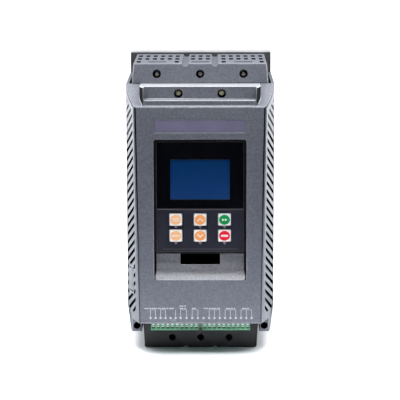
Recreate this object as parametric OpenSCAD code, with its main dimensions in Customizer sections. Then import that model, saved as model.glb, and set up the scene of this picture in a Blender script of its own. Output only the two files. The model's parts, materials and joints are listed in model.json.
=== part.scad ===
// Three-phase soft starter with a louvred front cover, a pull-out keypad and vented terminal covers.
// x runs to the right and z up from the feet; depths run back from the front face along y.

/* [Overall] */
// Width across the rear housing
body_w = 157; // [150:1:172]
// Depth from the front face to the mounting face
body_d = 187; // [182:1:205]
// Height over the mounting tray
body_h = 309; // [303:1:330]
// Wall of the grey mouldings
wall = 2.5; // [2:0.1:3]
// Gap between mouldings that fit together
fit_gap = 0.4; // [0.3:0.05:0.6]

/* [Front cover] */
// Depth of the front cover
cover_d = 49; // [46:1:52]
// Set-in of the front face from each side along its top edge
face_top_in = 11; // [9:0.2:13]
// Set-in of the front face from each side along its bottom edge
face_bottom_in = 14.3; // [13.4:0.1:15]
// Height of the cover's bottom edge above the feet
cover_bottom_z = 39.5; // [38:0.5:44]
// Rise of the shoulder from the front face to the ledge
shoulder_h = 19; // [16:0.5:22]
// Hollow of the shoulder below a straight slope
shoulder_sag = 3.5; // [1.5:0.5:4]
// Radius of the cover's lower rear corners
corner_r = 8; // [5:0.5:9]
// Lip of the face edge in front of the shadow groove
groove_lip = 1.6; // [1:0.1:2]
// Width of the shadow groove behind that lip
groove_w = 6.4; // [4:0.2:8]
// Depth of the shadow groove at the top of the face
groove_d = 1.4; // [0.8:0.1:1.8]

/* [Shoulder boss] */
// Set-in of the boss from each top corner of the front face
boss_in = 7.5; // [6:0.25:9]
// Depth from the front face to the boss
boss_y = 5; // [4:0.2:8]
// Bulge of each boss side at its widest
boss_bulge = 3.2; // [1:0.2:4]
// Radius of the boss's front corners
boss_r = 3; // [2:0.5:4]
// Width of the frame either side of the sunk screw panel
panel_frame = 1.4; // [1:0.1:3]
// Height of the screw panel
panel_h = 13; // [12:0.5:15]
// Depth of the screw panel behind the boss front
panel_d = 14.6; // [12:0.2:16]
// Distance between the two cover screws
cover_screw_pitch = 45.2; // [36:0.2:60]
// Diameter of the sunk holes over the cover screws
cover_screw_well = 9; // [7.5:0.1:10]

/* [Side louvres] */
// Upright distance from louvre to louvre
louvre_pitch = 8.93; // [7:0.01:12]
// Opening of each louvre
louvre_w = 3.2; // [2:0.1:4]
// Fall of the louvres towards the rear, in degrees
louvre_angle = 27; // [15:1:35]
// Depth from the front face to the louvres
louvre_y = 14; // [10:0.5:18]
// Rim left behind the louvres
louvre_rim = 2.6; // [2:0.1:4]

/* [Service port] */
// Depth from the front face to the port in the left flank
port_y = 23.6; // [20:0.2:26]
// Length of the port along the depth
port_d = 16.2; // [12:0.2:18]
// Height of the port
port_h = 25; // [18:0.5:30]
// Height of the port's lower edge above the cover's bottom edge
port_rise = 27.2; // [22:0.2:40]

/* [Keypad] */
// Width of the keypad
keypad_w = 94.8; // [90:0.2:98]
// Height of the keypad
keypad_h = 120; // [114:0.2:122]
// Depth of the keypad from face to back
keypad_d = 18.6; // [18:0.2:21]
// Distance from the top of the front face down to the keypad
keypad_drop = 34.6; // [33:0.2:38]
// Set-back of the keypad rim behind the front face
keypad_inset = 1; // [0.8:0.1:1.2]
// Width of the keypad rim
keypad_rim = 2.2; // [1.6:0.1:3]
// Radius of the keypad's corners
keypad_r = 2; // [1:0.2:3]
// Height of the key panel below the display window
key_panel_h = 47.5; // [45:0.1:49]
// Width of the screen that shows in the window
screen_w = 62; // [56:0.5:66]
// Height of the screen that shows in the window
screen_h = 42; // [38:0.2:46]
// Side-to-side size of a key
key_w = 13.2; // [11:0.1:15]
// Up-and-down size of a key
key_h = 12.8; // [11:0.1:14]
// Distance between key columns
key_pitch_x = 25.4; // [20:0.2:27]
// Distance between key rows
key_pitch_z = 17; // [16.4:0.1:18]
// Clearance round a key in the key panel
key_gap = 0.25; // [0.2:0.05:0.4]
// How far a key goes in when pressed
key_travel = 0.8; // [0.5:0.1:0.9]
// Width of the finger slot below the keypad
finger_w = 41.4; // [30:0.2:50]
// Height of the finger slot
finger_h = 13; // [10:0.5:15]
// Height of the sunk area below the keypad
recess_h = 27.8; // [26:0.2:31]
// Depth of the sunk area below the keypad
recess_d = 8.8; // [7:0.2:10]
// Height of the ramp at the foot of the sunk area
ramp_h = 8.4; // [6:0.2:10]
// Radius of the lower corners of the sunk area
recess_r = 4; // [2:0.5:6]

/* [Name plate] */
// Width of the bare name plate
plate_w = 94; // [80:0.5:100]
// Height of the bare name plate
plate_h = 13; // [10:0.5:15]
// Distance from the top of the front face down to the plate
plate_drop = 13.8; // [11:0.2:16]

/* [Terminal covers] */
// Height of the input terminal cover above the ledge
input_h = 20.5; // [18:0.5:24]
// Set-in of the input terminal cover from each side
input_in = 6.5; // [6:0.25:8]
// Distance between the input terminals
input_pitch = 45.8; // [43:0.2:47]
// Diameter of the screwdriver holes over the input terminals
input_hole = 7.7; // [6.5:0.1:9]
// Set-in of the output terminal cover from each side
output_in = 15.9; // [15.4:0.1:16.4]
// Lean of the output cover's sides towards its foot
output_draft = 2; // [1:0.1:3]
// Radius of the output cover's lower corners
output_r = 2.4; // [1.5:0.1:3]
// Depth from the front face to the output terminal cover
output_y = 47; // [45:0.5:48]
// Distance between the output terminals
output_pitch = 30.7; // [29:0.1:33]
// Diameter of the screwdriver holes over the output terminals
output_hole = 7.6; // [6.5:0.1:9]
// Height of the output terminals
output_z = 11; // [10:0.2:13]
// Distance of the rounded channels from the middle of the covers
channel_x = 15.6; // [14.5:0.1:17]
// Width of the rounded channels
channel_w = 6.3; // [5:0.1:7]
// Width of a vent slot
vent_w = 4.3; // [3.5:0.1:4.6]
// Length of a vent slot
vent_l = 15; // [10:0.5:18]
// Distance between vent slots in a row
vent_pitch = 8.1; // [7.4:0.1:8.2]
// Distance between vent rows
vent_row = 32; // [24:0.5:34]

/* [Control terminals] */
// Poles of each control terminal block
poles = 10; // [6:1:10]
// Distance between terminal poles
pole_pitch = 5.08; // [5:0.01:5.08]
// Height of a terminal block
terminal_h = 15.5; // [14:0.5:18]
// Height of the terminal blocks above the feet
terminal_z = 24.6; // [23:0.2:27]
// Depth from the front face to the terminal blocks
terminal_y = 24.4; // [23:0.2:27]

/* [Mounting] */
// Depth of the folded mounting tray
tray_d = 27; // [22:1:32]
// Sheet thickness of the mounting tray
sheet = 2; // [1.5:0.1:3]
// Set-in of the lower fixing holes from each side
fix_in = 10.2; // [9.8:0.1:10.6]
// Height of the lower fixing holes
fix_z = 26; // [25:0.2:28]
// Diameter of the fixing holes in the tray
fix_d = 6.6; // [5.5:0.1:7]
// Diameter of the screw tunnels through the ears
ear_hole = 7.6; // [7.2:0.1:8.4]
// Distance between the upper keyholes
keyhole_pitch = 100; // [90:1:110]

/* [Power section] */
// Set-in of the heat sink from each side
sink_in = 14.5; // [13:0.5:14.5]
// Thickness of the heat sink's base
sink_base = 8; // [6:0.5:10]
// Number of plain fins on the heat sink
fins = 15; // [9:2:17]
// Width of a thyristor module
module_w = 34; // [30:0.5:36]
// Height of a thyristor module
module_h = 94; // [88:0.5:98]
// Thickness of a thyristor module
module_d = 30; // [26:0.5:32]
// Width of the copper bars
bar_w = 14; // [12:0.5:16]
// Thickness of the copper bars
bar_t = 3; // [2:0.5:4]

/* [Hidden] */
$fn = 48;
big = 400;
eps = 1;
tray_over = 2;
face_top_w = body_w - 2 * face_top_in;
face_bottom_w = body_w - 2 * face_bottom_in;
boss_w = face_top_w - 2 * boss_in;
panel_w = boss_w - 2 * panel_frame;
input_w = body_w - 2 * input_in;
output_w = body_w - 2 * output_in;
output_h = cover_bottom_z - 0.9;
fix_pitch = body_w - 2 * fix_in;
sink_w = body_w - 2 * sink_in;
ledge_z = body_h - tray_over - input_h;
face_top_z = ledge_z - shoulder_h;
tray_y = body_d - tray_d;
flank_slope = (body_w - face_top_w) / 2 / cover_d;
flank_lean = (face_top_w - face_bottom_w) / 2 / (face_top_z - cover_bottom_z);
flank_turn = atan(flank_slope);
flank_tilt = atan(flank_lean * cos(flank_turn));
chord = norm([cover_d, shoulder_h]);
shoulder_r = chord * chord / (8 * shoulder_sag) + shoulder_sag / 2;
shoulder_c = [cover_d / 2, face_top_z + shoulder_h / 2]
    + [-shoulder_h, cover_d] / chord * (shoulder_r - shoulder_sag);
panel_y = boss_y + panel_d;
groove_end = 0.3;
groove_rise = face_top_z - cover_bottom_z;
cheek_drop = 3.6;
small_step = 0.15;
finger_r = 1.5;
cover_screw_z = ledge_z - panel_h / 2 - 1;
well_depth = 7;
tube_end = 40;
bay_wall = 2;
bay_w = keypad_w + 2 * fit_gap;
bay_d = keypad_inset + keypad_d + fit_gap;
keypad_top = face_top_z - keypad_drop;
keypad_z = keypad_top - keypad_h;
recess_z = keypad_z - recess_h;
port_z = cover_bottom_z + port_rise;
split_z = keypad_z + key_panel_h;
fascia_y = keypad_inset + 0.3;
fascia_t = 2;
fascia_gap = 0.2;
fascia_w = keypad_w - 2 * keypad_rim - 2 * fascia_gap;
case_wall = 2;
board_t = 1.6;
screen_z = split_z + 9.8;
key_face = 0.3;
key_top_row = split_z - 11.4;
key_rows = [key_top_row, key_top_row - key_pitch_z];
key_board_y = fascia_y + 11.7;
switch_h = 5;
plunger = 0.8;
key_back = key_board_y - switch_h - plunger - key_travel - 0.2;
screw_gap = 0.1;
m3 = 3;
m4 = 4;
m5 = 5;
m6 = 6;
top_w = input_w - 3;
top_z = ledge_z + input_h;
channel_z = top_z + channel_w / 2 - 3;
top_open_x = input_w / 2 - 10;
top_open_d = tray_y - cover_d - 15;
input_tab_w = 19;
plate_z = face_top_z - plate_drop - plate_h;
input_z = ledge_z + 10;
plate_t = 0.5;
board_y = 38;
socket_w = 16;
socket_h = 11;
socket_z = keypad_z + 20;
socket_y = bay_d + bay_wall + 2;
plug_w = 11.4;
plug_h = 6.4;
board_w = 120;
board_foot = cover_bottom_z + 6;
board_top = keypad_top + 12;
screen_wall_y = cover_d + 3;
post_x = board_w / 2 - 8;
post_zs = [cover_bottom_z + 21, (cover_bottom_z + board_top) / 2, board_top - 9];
block_w = poles * pole_pitch;
block_x = block_w / 2 + 2;
blocks_w = 2 * block_x + block_w;
screw_rise = 7;
ear_front = 40;
ear_z = fix_z - 6.7;
ear_in = output_w / 2 + fit_gap;
ear_out = body_w / 2 - 5;
sink_y = tray_y - 36;
sink_z = cover_bottom_z + 6;
sink_top = ledge_z - 7;
sink_screw_zs = [sink_z + 30, sink_top - 30];
module_y = sink_y - module_d;
module_top = sink_top - 36;
module_z = module_top - module_h;
bar_y = module_y - bar_t;
input_bar_y = screen_wall_y + 10;
bend_z = module_top + 16;
thick_fin_x = input_pitch;
fin_t = 1.8;
keyhole_z = ledge_z + 2;

module in_frame() translate([0, -body_d / 2, 0]) children();

module slab(w, d, h, y, z, x = 0) translate([x - w / 2, y, z]) cube([w, d, h]);

module bore(dia, len, x, y, z) translate([x, y, z]) rotate([-90, 0, 0]) cylinder(d = dia, h = len);

module round_rect(w, h, r) {
    translate([-w / 2 + r, 0]) square([w - 2 * r, h]);
    translate([-w / 2, r]) square([w, h - 2 * r]);
    for (x = [-w / 2 + r, w / 2 - r], z = [r, h - r]) translate([x, z]) circle(r);
}

module tile(w, h, r, d, y, z, x = 0)
    translate([x, y + d, z]) rotate([90, 0, 0]) linear_extrude(d) round_rect(w, h, r);

module side_sheet(w, x = 0)
    translate([x - w / 2, 0, 0]) rotate([90, 0, 90]) linear_extrude(w) children();

module both_sides() for (side = [0, 1]) mirror([side, 0, 0]) children();

// Everything outside a flank plane set in by the given amount; fade lets it lean in towards the top.
module flank_cut(inset, fade = 0)
    both_sides() translate([face_bottom_w / 2, 0, cover_bottom_z])
        rotate([0, flank_tilt - fade, -flank_turn])
            translate([-inset, -big, -big]) cube([body_w, 2 * big, 2 * big]);

module shoulder_roll(r)
    translate([-body_w, shoulder_c[0], shoulder_c[1]]) rotate([0, 90, 0])
        cylinder(r = r, h = 2 * body_w, $fn = 200);

// The flared cover with its hollow shoulder, set in by the given amount and open at the rear.
module cover_block(inset, rear) difference() {
    slab(body_w, rear - inset, ledge_z - cover_bottom_z - 2 * inset, inset, cover_bottom_z + inset);
    shoulder_roll(shoulder_r + inset);
    flank_cut(inset);
}

module boss_plan() {
    half = boss_w / 2;
    both_sides() {
        polygon([[0, boss_y], [half - boss_r, boss_y], [half, boss_y + boss_r],
            [half + boss_bulge, cover_d / 2], [half + 0.75 * boss_bulge, cover_d], [0, cover_d]]);
        translate([half - boss_r, boss_y + boss_r]) circle(boss_r);
    }
}

module boss()
    translate([0, 0, face_top_z - wall]) linear_extrude(ledge_z - face_top_z + wall) boss_plan();

// The boss is hollow behind the screw panel and below it.
module boss_hollow() {
    w = boss_w - 2 * wall;
    foot = face_top_z - 2 * wall;
    slab(w, cover_d, ledge_z - wall - foot, panel_y + wall, foot);
    slab(w, cover_d, ledge_z - panel_h - wall - foot, boss_y + wall, foot);
}

module bay_walls() {
    slab(bay_w + 2 * bay_wall, bay_d + bay_wall, keypad_h + 2 * (fit_gap + bay_wall), 0,
        keypad_z - fit_gap - bay_wall);
    slab(bay_w + 2 * bay_wall, recess_d + bay_wall, recess_h + bay_wall, 0, recess_z - bay_wall);
    slab(finger_w + 2 * bay_wall, bay_d + bay_wall, finger_h + bay_wall, 0, keypad_z - finger_h - bay_wall);
}

module bay() {
    foot = keypad_z - fit_gap;
    slab(bay_w, bay_d + eps, keypad_h / 2, -eps, foot);
    tile(bay_w, keypad_h + 2 * fit_gap, keypad_r + fit_gap, bay_d + eps, -eps, foot);
    slab(socket_w + 2, 3 * bay_wall, socket_h + 2, bay_d - bay_wall, socket_z - 1);
}

// The sunk area has a ramp at its foot, rounded lower corners and side walls that lean outwards.
module finger_recess() {
    lean = 2;
    intersection() {
        side_sheet(bay_w) polygon([[-eps, recess_z - eps * ramp_h / recess_d],
            [recess_d, recess_z + ramp_h], [recess_d, keypad_z], [-eps, keypad_z]]);
        translate([0, 0, recess_z - 2 * eps]) linear_extrude(recess_h + 4 * eps)
            polygon([[-bay_w / 2, -eps], [bay_w / 2, -eps], [bay_w / 2, 0],
                [bay_w / 2 - lean, recess_d + eps], [lean - bay_w / 2, recess_d + eps], [-bay_w / 2, 0]]);
        tile(bay_w, recess_h + 2 * recess_r, recess_r, recess_d + 2 * eps, -eps, recess_z);
    }
}

module finger_slot()
    tile(finger_w, finger_h + 4 * eps, finger_r, bay_d - recess_d + eps, recess_d - eps,
        keypad_z - finger_h);

// Below the front edge the flanks dip towards the ears.
module cheeks() intersection() {
    rear = ear_front - fit_gap;
    side_sheet(2 * body_w) polygon([[wall, cover_bottom_z + wall], [rear, cover_bottom_z + wall],
        [rear, cover_bottom_z - cheek_drop], [wall, cover_bottom_z - small_step]]);
    difference() {
        flank_cut(wall);
        flank_cut(0);
    }
}

module cover_tubes()
    for (x = [-cover_screw_pitch / 2, cover_screw_pitch / 2])
        bore(cover_screw_well + 2 * bay_wall, tube_end - panel_y - eps, x, panel_y + eps, cover_screw_z);

module cover_tube_holes()
    for (x = [-cover_screw_pitch / 2, cover_screw_pitch / 2]) {
        bore(cover_screw_well, well_depth + eps, x, panel_y - eps, cover_screw_z);
        bore(m3 + fit_gap, tube_end, x, panel_y, cover_screw_z);
    }

module louvre_field() {
    top_1 = face_top_z - 8;
    top_2 = face_top_z + 3;
    foot = cover_bottom_z + 5;
    rear = cover_d - louvre_rim;
    count = floor((top_2 + 14 - foot) / louvre_pitch);
    intersection() {
        side_sheet(2 * body_w)
            polygon([[louvre_y, foot], [rear, foot], [rear, top_2], [louvre_y, top_1]]);
        both_sides() for (i = [0 : count])
            translate([bay_w / 2 + 10, louvre_y, top_2 + 14 - i * louvre_pitch])
                rotate([-louvre_angle, 0, 0]) translate([0, -cover_d, -louvre_w / 2])
                    cube([body_w / 3, 3 * cover_d, louvre_w]);
    }
}

module port_zone(gap)
    slab(body_w / 4, port_d - 2 * gap, port_h - 2 * gap, port_y + gap, port_z + gap, -body_w / 2);

module louvres() difference() {
    louvre_field();
    port_zone(-2.6);
}

// The groove along each face edge gets shallower downwards and turns back along the shoulder's edge.
module shadow_grooves() {
    fade = atan((groove_d - groove_end) / groove_rise);
    lip = shoulder_r + groove_lip / 2;
    difference() {
        intersection() {
            slab(2 * body_w, groove_w, groove_rise + 2 * groove_w, groove_lip, cover_bottom_z - groove_w);
            flank_cut(groove_end, fade);
        }
        shoulder_roll(lip);
    }
    intersection() {
        difference() {
            shoulder_roll(lip + groove_w / 2);
            shoulder_roll(lip);
        }
        flank_cut(groove_d + small_step);
        slab(2 * body_w, cover_d, shoulder_h + groove_w / 2, groove_lip, face_top_z - groove_w);
    }
}

module name_plate_seat(gap, d) slab(plate_w + 2 * gap, d, plate_h + 2 * gap, 0, plate_z - gap);

// What the rounded lower rear corner takes off the cover.
module corner_cut(r) difference() {
    slab(2 * body_w, corner_r + eps, corner_r + eps, cover_d - corner_r, cover_bottom_z - eps);
    translate([-body_w, cover_d - corner_r, cover_bottom_z + corner_r]) rotate([0, 90, 0])
        cylinder(r = r, h = 2 * body_w);
}

module front_cover() color("#6d7078") in_frame() difference() {
    union() {
        difference() {
            union() {
                cover_block(0, cover_d);
                boss();
            }
            cover_block(wall, cover_d + eps);
            boss_hollow();
        }
        bay_walls();
        cheeks();
        cover_tubes();
    }
    bay();
    finger_recess();
    finger_slot();
    tile(panel_w, panel_h + corner_r, boss_r / 2, panel_d + eps, boss_y - eps, ledge_z - panel_h);
    cover_tube_holes();
    louvres();
    port_zone(0);
    shadow_grooves();
    translate([0, -eps, 0]) name_plate_seat(fascia_gap, plate_t + eps);
    slab(blocks_w + 2, cover_d, 3 * wall, terminal_y - 4, cover_bottom_z - wall);
    corner_cut(corner_r);
}

module name_plate() color("#6c6b80") in_frame() name_plate_seat(0, plate_t);

module port_cover() color("#787b84") in_frame() intersection() {
    port_zone(fit_gap);
    difference() {
        flank_cut(wall);
        flank_cut(-0.4);
    }
}

module cover_screws() color("#c8a24a") in_frame()
    for (x = [-cover_screw_pitch / 2, cover_screw_pitch / 2]) {
        head_y = panel_y + well_depth;
        difference() {
            bore(1.9 * m3, 0.75 * m3, x, head_y - 0.75 * m3, cover_screw_z);
            for (a = [0, 90]) translate([x, head_y - 0.75 * m3 - eps, cover_screw_z]) rotate([0, a, 0])
                slab(m3, eps + m3 / 3, m3 / 5, 0, -m3 / 10);
        }
        bore(m3, tube_end - head_y + 9, x, head_y, cover_screw_z);
    }

// Plan of an ear in front of the housing, its outer edge flaring out to the side wall.
module ear_plan()
    polygon([[ear_in, ear_front], [ear_out, ear_front], [body_w / 2, cover_d + fit_gap],
        [body_w / 2, cover_d + 4], [ear_in, cover_d + 4]]);

module ear_pair() both_sides() difference() {
    translate([0, 0, ear_z]) linear_extrude(cover_bottom_z + corner_r - ear_z) ear_plan();
    slab(2 * body_w, cover_d - corner_r, body_h, 0, cover_bottom_z - fit_gap);
    slab(2 * body_w, cover_d + fit_gap, body_h, 0, cover_bottom_z + corner_r - fit_gap);
    translate([-body_w, cover_d - corner_r, cover_bottom_z + corner_r]) rotate([0, 90, 0])
        cylinder(r = corner_r + fit_gap, h = 3 * body_w);
}

module screw_posts(dia, len)
    for (x = [-cover_screw_pitch / 2, cover_screw_pitch / 2])
        bore(dia, len, x, tube_end + fit_gap, cover_screw_z);

module rear_housing() color("#6f727a") in_frame() {
    front = cover_d + fit_gap;
    len = tray_y - fit_gap - front;
    difference() {
        union() {
            difference() {
                slab(body_w, len, ledge_z - ear_z, front, ear_z);
                slab(body_w - 2 * wall, len + 2 * eps, ledge_z - ear_z - 2 * wall, front - eps, ear_z + wall);
            }
            slab(body_w - wall, wall, ledge_z - cover_bottom_z - wall, screen_wall_y, cover_bottom_z);
            both_sides() slab(wall, len, output_h + wall - ear_z, front, ear_z, ear_in + wall / 2);
            ear_pair();
            both_sides() bore(ear_hole + 2 * wall, len, fix_pitch / 2, front, fix_z);
            screw_posts(3 * m3, screen_wall_y - tube_end);
        }
        slab(2 * ear_in, body_d, cover_bottom_z - ear_z + eps, cover_d - eps, ear_z - eps);
        slab(2 * top_open_x, top_open_d, 3 * wall, screen_wall_y + wall + 1.5, ledge_z - 2 * wall);
        screw_posts(m3 + 2 * screw_gap, 10);
        both_sides() bore(ear_hole, body_d, fix_pitch / 2, ear_front - eps, fix_z);
        for (x = [-post_x + 14, 0, post_x - 14])
            slab(16, 3 * wall, 10, screen_wall_y - wall, (post_zs[0] + post_zs[1]) / 2, x);
    }
}

module vent(x, y, z) slab(vent_w, vent_l, 4 * wall, y, z - 2 * wall, x);

// Vents in three fields, one over each phase, either side of the rounded channels.
module vent_fields(z) {
    start = cover_d + 15;
    for (row = [1, 2]) {
        for (i = [-1 : 1]) vent(i * vent_pitch, start + row * vent_row, z);
        both_sides() for (i = [0 : 5])
            vent(channel_x + 9.4 + i * vent_pitch, start + row * vent_row, z);
    }
    both_sides() for (i = [0, 5]) vent(channel_x + 9.4 + i * vent_pitch, start, z);
}

module cover_taper(inset, foot, y0, y1) {
    half = [input_w / 2 - inset, top_w / 2 - inset];
    translate([0, y1, 0]) rotate([90, 0, 0]) linear_extrude(y1 - y0)
        polygon([[-half[0], ledge_z - foot], [half[0], ledge_z - foot], [half[1], top_z - inset],
            [-half[1], top_z - inset]]);
}

module input_cover() color("#70737b") in_frame() {
    front = cover_d + fit_gap;
    rear = tray_y - fit_gap;
    difference() {
        union() {
            difference() {
                cover_taper(0, 0, front, rear);
                cover_taper(wall, eps, front + wall, rear - wall);
            }
            both_sides() intersection() {
                bore(channel_w + 2 * wall, rear - front - eps, channel_x, front + eps / 2, channel_z);
                slab(body_w, body_d, input_h - wall, 0, ledge_z + wall / 2);
            }
            both_sides() slab(wall, 8, input_h - wall, front + eps, ledge_z + eps / 2, channel_x);
            for (x = [-input_pitch, 0, input_pitch])
                slab(input_tab_w, 8, wall + 0.6, cover_d + 18, top_z - wall, x);
        }
        both_sides() bore(channel_w, body_d, channel_x, cover_d - eps, channel_z);
        vent_fields(top_z);
        for (x = [-input_pitch, 0, input_pitch]) bore(input_hole, 3 * wall, x, cover_d - wall, input_z);
    }
}

// The output cover's body, set in by the given amount, with sides that lean in to rounded lower corners.
module output_body(inset, h) intersection() {
    len = tray_y - fit_gap - output_y;
    top = output_w / 2 - inset;
    foot = top - output_draft;
    r = output_r - inset / 2;
    translate([0, output_y + inset, 0]) linear_extrude(h) round_rect(2 * top, len - 2 * inset, r);
    translate([0, body_d, 0]) rotate([90, 0, 0]) linear_extrude(body_d) both_sides() {
        polygon([[0, inset], [foot - r, inset], [foot, inset + r], [top, output_h],
            [top, body_h], [0, body_h]]);
        translate([foot - r, inset + r]) circle(r);
    }
}

module output_cover() color("#202226") in_frame() {
    difference() {
        output_body(0, output_h);
        output_body(wall, output_h + eps);
        both_sides() bore(channel_w, body_d, channel_x, output_y - eps, -channel_w / 5);
        for (x = [-output_pitch, 0, output_pitch]) bore(output_hole, 3 * wall, x, output_y - wall, output_z);
        intersection() {
            vent_fields(0);
            slab(output_w - 6 * wall, body_d, 4 * wall, output_y + 4 * wall, -2 * wall);
        }
    }
}

module keyhole(x) {
    bore(2 * fix_d - 1, 3 * sheet, x, body_d - 2 * sheet, keyhole_z - fix_d);
    bore(fix_d, 3 * sheet, x, body_d - 2 * sheet, keyhole_z + fix_d / 2);
    slab(fix_d, 3 * sheet, 1.5 * fix_d, body_d - 2 * sheet, keyhole_z - fix_d, x);
}

module mounting_tray() color("#4a4a4c") in_frame() {
    tray_w = body_w - 1;
    lip = 11;
    difference() {
        slab(tray_w, tray_d, body_h, tray_y, 0);
        slab(tray_w - 2 * sheet, tray_d - 2 * sheet, body_h - 2 * sheet, tray_y + sheet, sheet);
        slab(tray_w - 2 * lip, 3 * sheet, body_h - 2 * lip, tray_y - eps, lip);
        both_sides() {
            bore(fix_d, 3 * sheet, fix_pitch / 2, body_d - 2 * sheet, fix_z);
            bore(ear_hole, 3 * sheet, fix_pitch / 2, tray_y - sheet, fix_z);
            keyhole(keyhole_pitch / 2);
        }
        for (x = [-thick_fin_x, thick_fin_x], z = sink_screw_zs) {
            bore(m4 + fit_gap, 3 * sheet, x, body_d - 2 * sheet, z);
            translate([x, body_d - sheet, z]) rotate([-90, 0, 0])
                cylinder(d1 = m4 + fit_gap, d2 = 2 * m4 + fit_gap, h = sheet);
        }
        for (i = [-6 : 6], z = [0, body_h]) slab(vent_w, vent_l, 3 * sheet, tray_y + 6, z - 1.5 * sheet, i * 10);
    }
}

module heat_sink() color("#b9bcc0") in_frame() {
    len = sink_top - sink_z;
    back = body_d - sheet;
    plain = sink_w - fin_t;
    difference() {
        union() {
            slab(sink_w, sink_base, len, sink_y, sink_z);
            for (i = [0 : fins - 1])
                slab(fin_t, back - sink_y, len, sink_y, sink_z, -plain / 2 + i * plain / (fins - 1));
            for (x = [-thick_fin_x, thick_fin_x]) slab(2 * m4, back - sink_y, len, sink_y, sink_z, x);
        }
        for (x = [-thick_fin_x, thick_fin_x], z = sink_screw_zs)
            bore(m4 + 2 * screw_gap, 5 * m4, x, back - 4 * m4, z);
        for (x = [-input_pitch, 0, input_pitch], z = [module_z + 8, module_top - 8])
            bore(m5, sink_base, x, sink_y - sink_base / 2, z);
    }
}

module sink_screws() color("#b0b3b6") in_frame()
    for (x = [-thick_fin_x, thick_fin_x], z = sink_screw_zs) {
        bore(m4, 3.5 * m4, x, body_d - sheet - 3.5 * m4, z);
        difference() {
            translate([x, body_d - sheet, z]) rotate([-90, 0, 0])
                cylinder(d1 = m4, d2 = 2 * m4 - 0.2, h = sheet - 0.1);
            for (a = [0, 90]) translate([x, body_d - 1.1, z]) rotate([0, a, 0])
                slab(m4, 2 * eps, m4 / 5, 0, -m4 / 10);
        }
    }

// A module body with a narrow neck, two terminal seats and the threaded holes in them.
module thyristor(x) color("#2b2d30") in_frame() difference() {
    union() {
        slab(module_w, module_d * 0.72, module_h, sink_y - module_d * 0.72, module_z, x);
        slab(module_w * 0.7, module_d, module_h - 8, module_y, module_z + 4, x);
    }
    for (z = [module_z + 12, module_top - 12]) bore(m5 + 2 * screw_gap, 3 * m5, x, module_y - eps, z);
    slab(module_w, 4, 18, module_y - eps, module_z + module_h / 2 - 9, x);
}

module thyristor_left() thyristor(-input_pitch);
module thyristor_middle() thyristor(0);
module thyristor_right() thyristor(input_pitch);

module module_screws() color("#c3c6c9") in_frame()
    for (x = [-input_pitch, 0, input_pitch], z = [module_z + 12, module_top - 12]) {
        bore(1.8 * m5, 3.4, x, bar_y - 3.4, z);
        bore(m5, bar_t + 10, x, bar_y, z);
    }

// Folded bar from the module's upper terminal, forward under the top wall and up to the terminal.
module input_bar(x) color("#c27c4a") in_frame() difference() {
    translate([x, 0, 0]) side_sheet(bar_w) polygon([[bar_y + bar_t, module_top - 20], [bar_y, module_top - 20],
        [bar_y, bend_z], [input_bar_y, bend_z], [input_bar_y, input_z + 7], [input_bar_y + bar_t, input_z + 7],
        [input_bar_y + bar_t, bend_z + bar_t], [bar_y + bar_t, bend_z + bar_t]]);
    bore(m5 + 2 * screw_gap, 3 * bar_t, x, bar_y - bar_t, module_top - 12);
    bore(m6 + 2 * screw_gap, 3 * bar_t, x, input_bar_y - bar_t, input_z);
}

module input_bar_left() input_bar(-input_pitch);
module input_bar_middle() input_bar(0);
module input_bar_right() input_bar(input_pitch);

// Flat bar from the module's lower terminal down to the output terminal, with a jog to its pitch.
module output_bar(side) color("#c27c4a") in_frame() difference() {
    x0 = side * input_pitch;
    x1 = side * output_pitch;
    h = bar_w / 2;
    jog = module_z - 14;
    translate([0, bar_y + bar_t, 0]) rotate([90, 0, 0]) linear_extrude(bar_t)
        polygon([[x0 - h, module_z + 20], [x0 + h, module_z + 20], [x0 + h, jog], [x1 + h, jog - 26],
            [x1 + h, output_z - 7], [x1 - h, output_z - 7], [x1 - h, jog - 26], [x0 - h, jog]]);
    bore(m5 + 2 * screw_gap, 3 * bar_t, x0, bar_y - bar_t, module_z + 12);
    bore(m6 + 2 * screw_gap, 3 * bar_t, x1, bar_y - bar_t, output_z);
}

module output_bar_left() output_bar(-1);
module output_bar_middle() output_bar(0);
module output_bar_right() output_bar(1);

// Current sensor block on the heat sink, with a slot for the bar.
module sensor(x) color("#3a5f8a") in_frame() difference() {
    tile(output_pitch - 5, 20, 3, sink_y - bar_y + 10, bar_y - 10, sink_z + 14, x);
    slab(bar_w + 2 * fit_gap, bar_t + 2 * fit_gap, 30, bar_y - fit_gap, sink_z + 9, x);
}

module sensor_left() sensor(-output_pitch);
module sensor_middle() sensor(0);
module sensor_right() sensor(output_pitch);

module bypass_contactor() color("#30343a") in_frame() {
    back = screen_wall_y + wall;
    z = module_z + 4;
    difference() {
        slab(100, bar_y - back - 8, 62, back, z);
        for (x = [-32, 0, 32]) slab(18, 8, 14, bar_y - 8 - 6, z + 44, x);
        for (x = [-16, 16]) slab(2, 6, 64, bar_y - 8 - 4, z - eps, x);
    }
}

module input_base() color("#2a2c30") in_frame() difference() {
    slab(2 * top_open_x + 12, 12, input_z + 4 - ledge_z, input_bar_y + bar_t, ledge_z);
    for (x = [-input_pitch, 0, input_pitch])
        bore(m6 + 2 * screw_gap, 14, x, input_bar_y + bar_t - eps, input_z);
}

module output_base() color("#2a2c30") in_frame() difference() {
    slab(2 * output_pitch + 36, 12, output_z + 9 - wall, bar_y + bar_t, wall);
    for (x = [-output_pitch, 0, output_pitch])
        bore(m6 + 2 * screw_gap, 14, x, bar_y + bar_t - eps, output_z);
}

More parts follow.
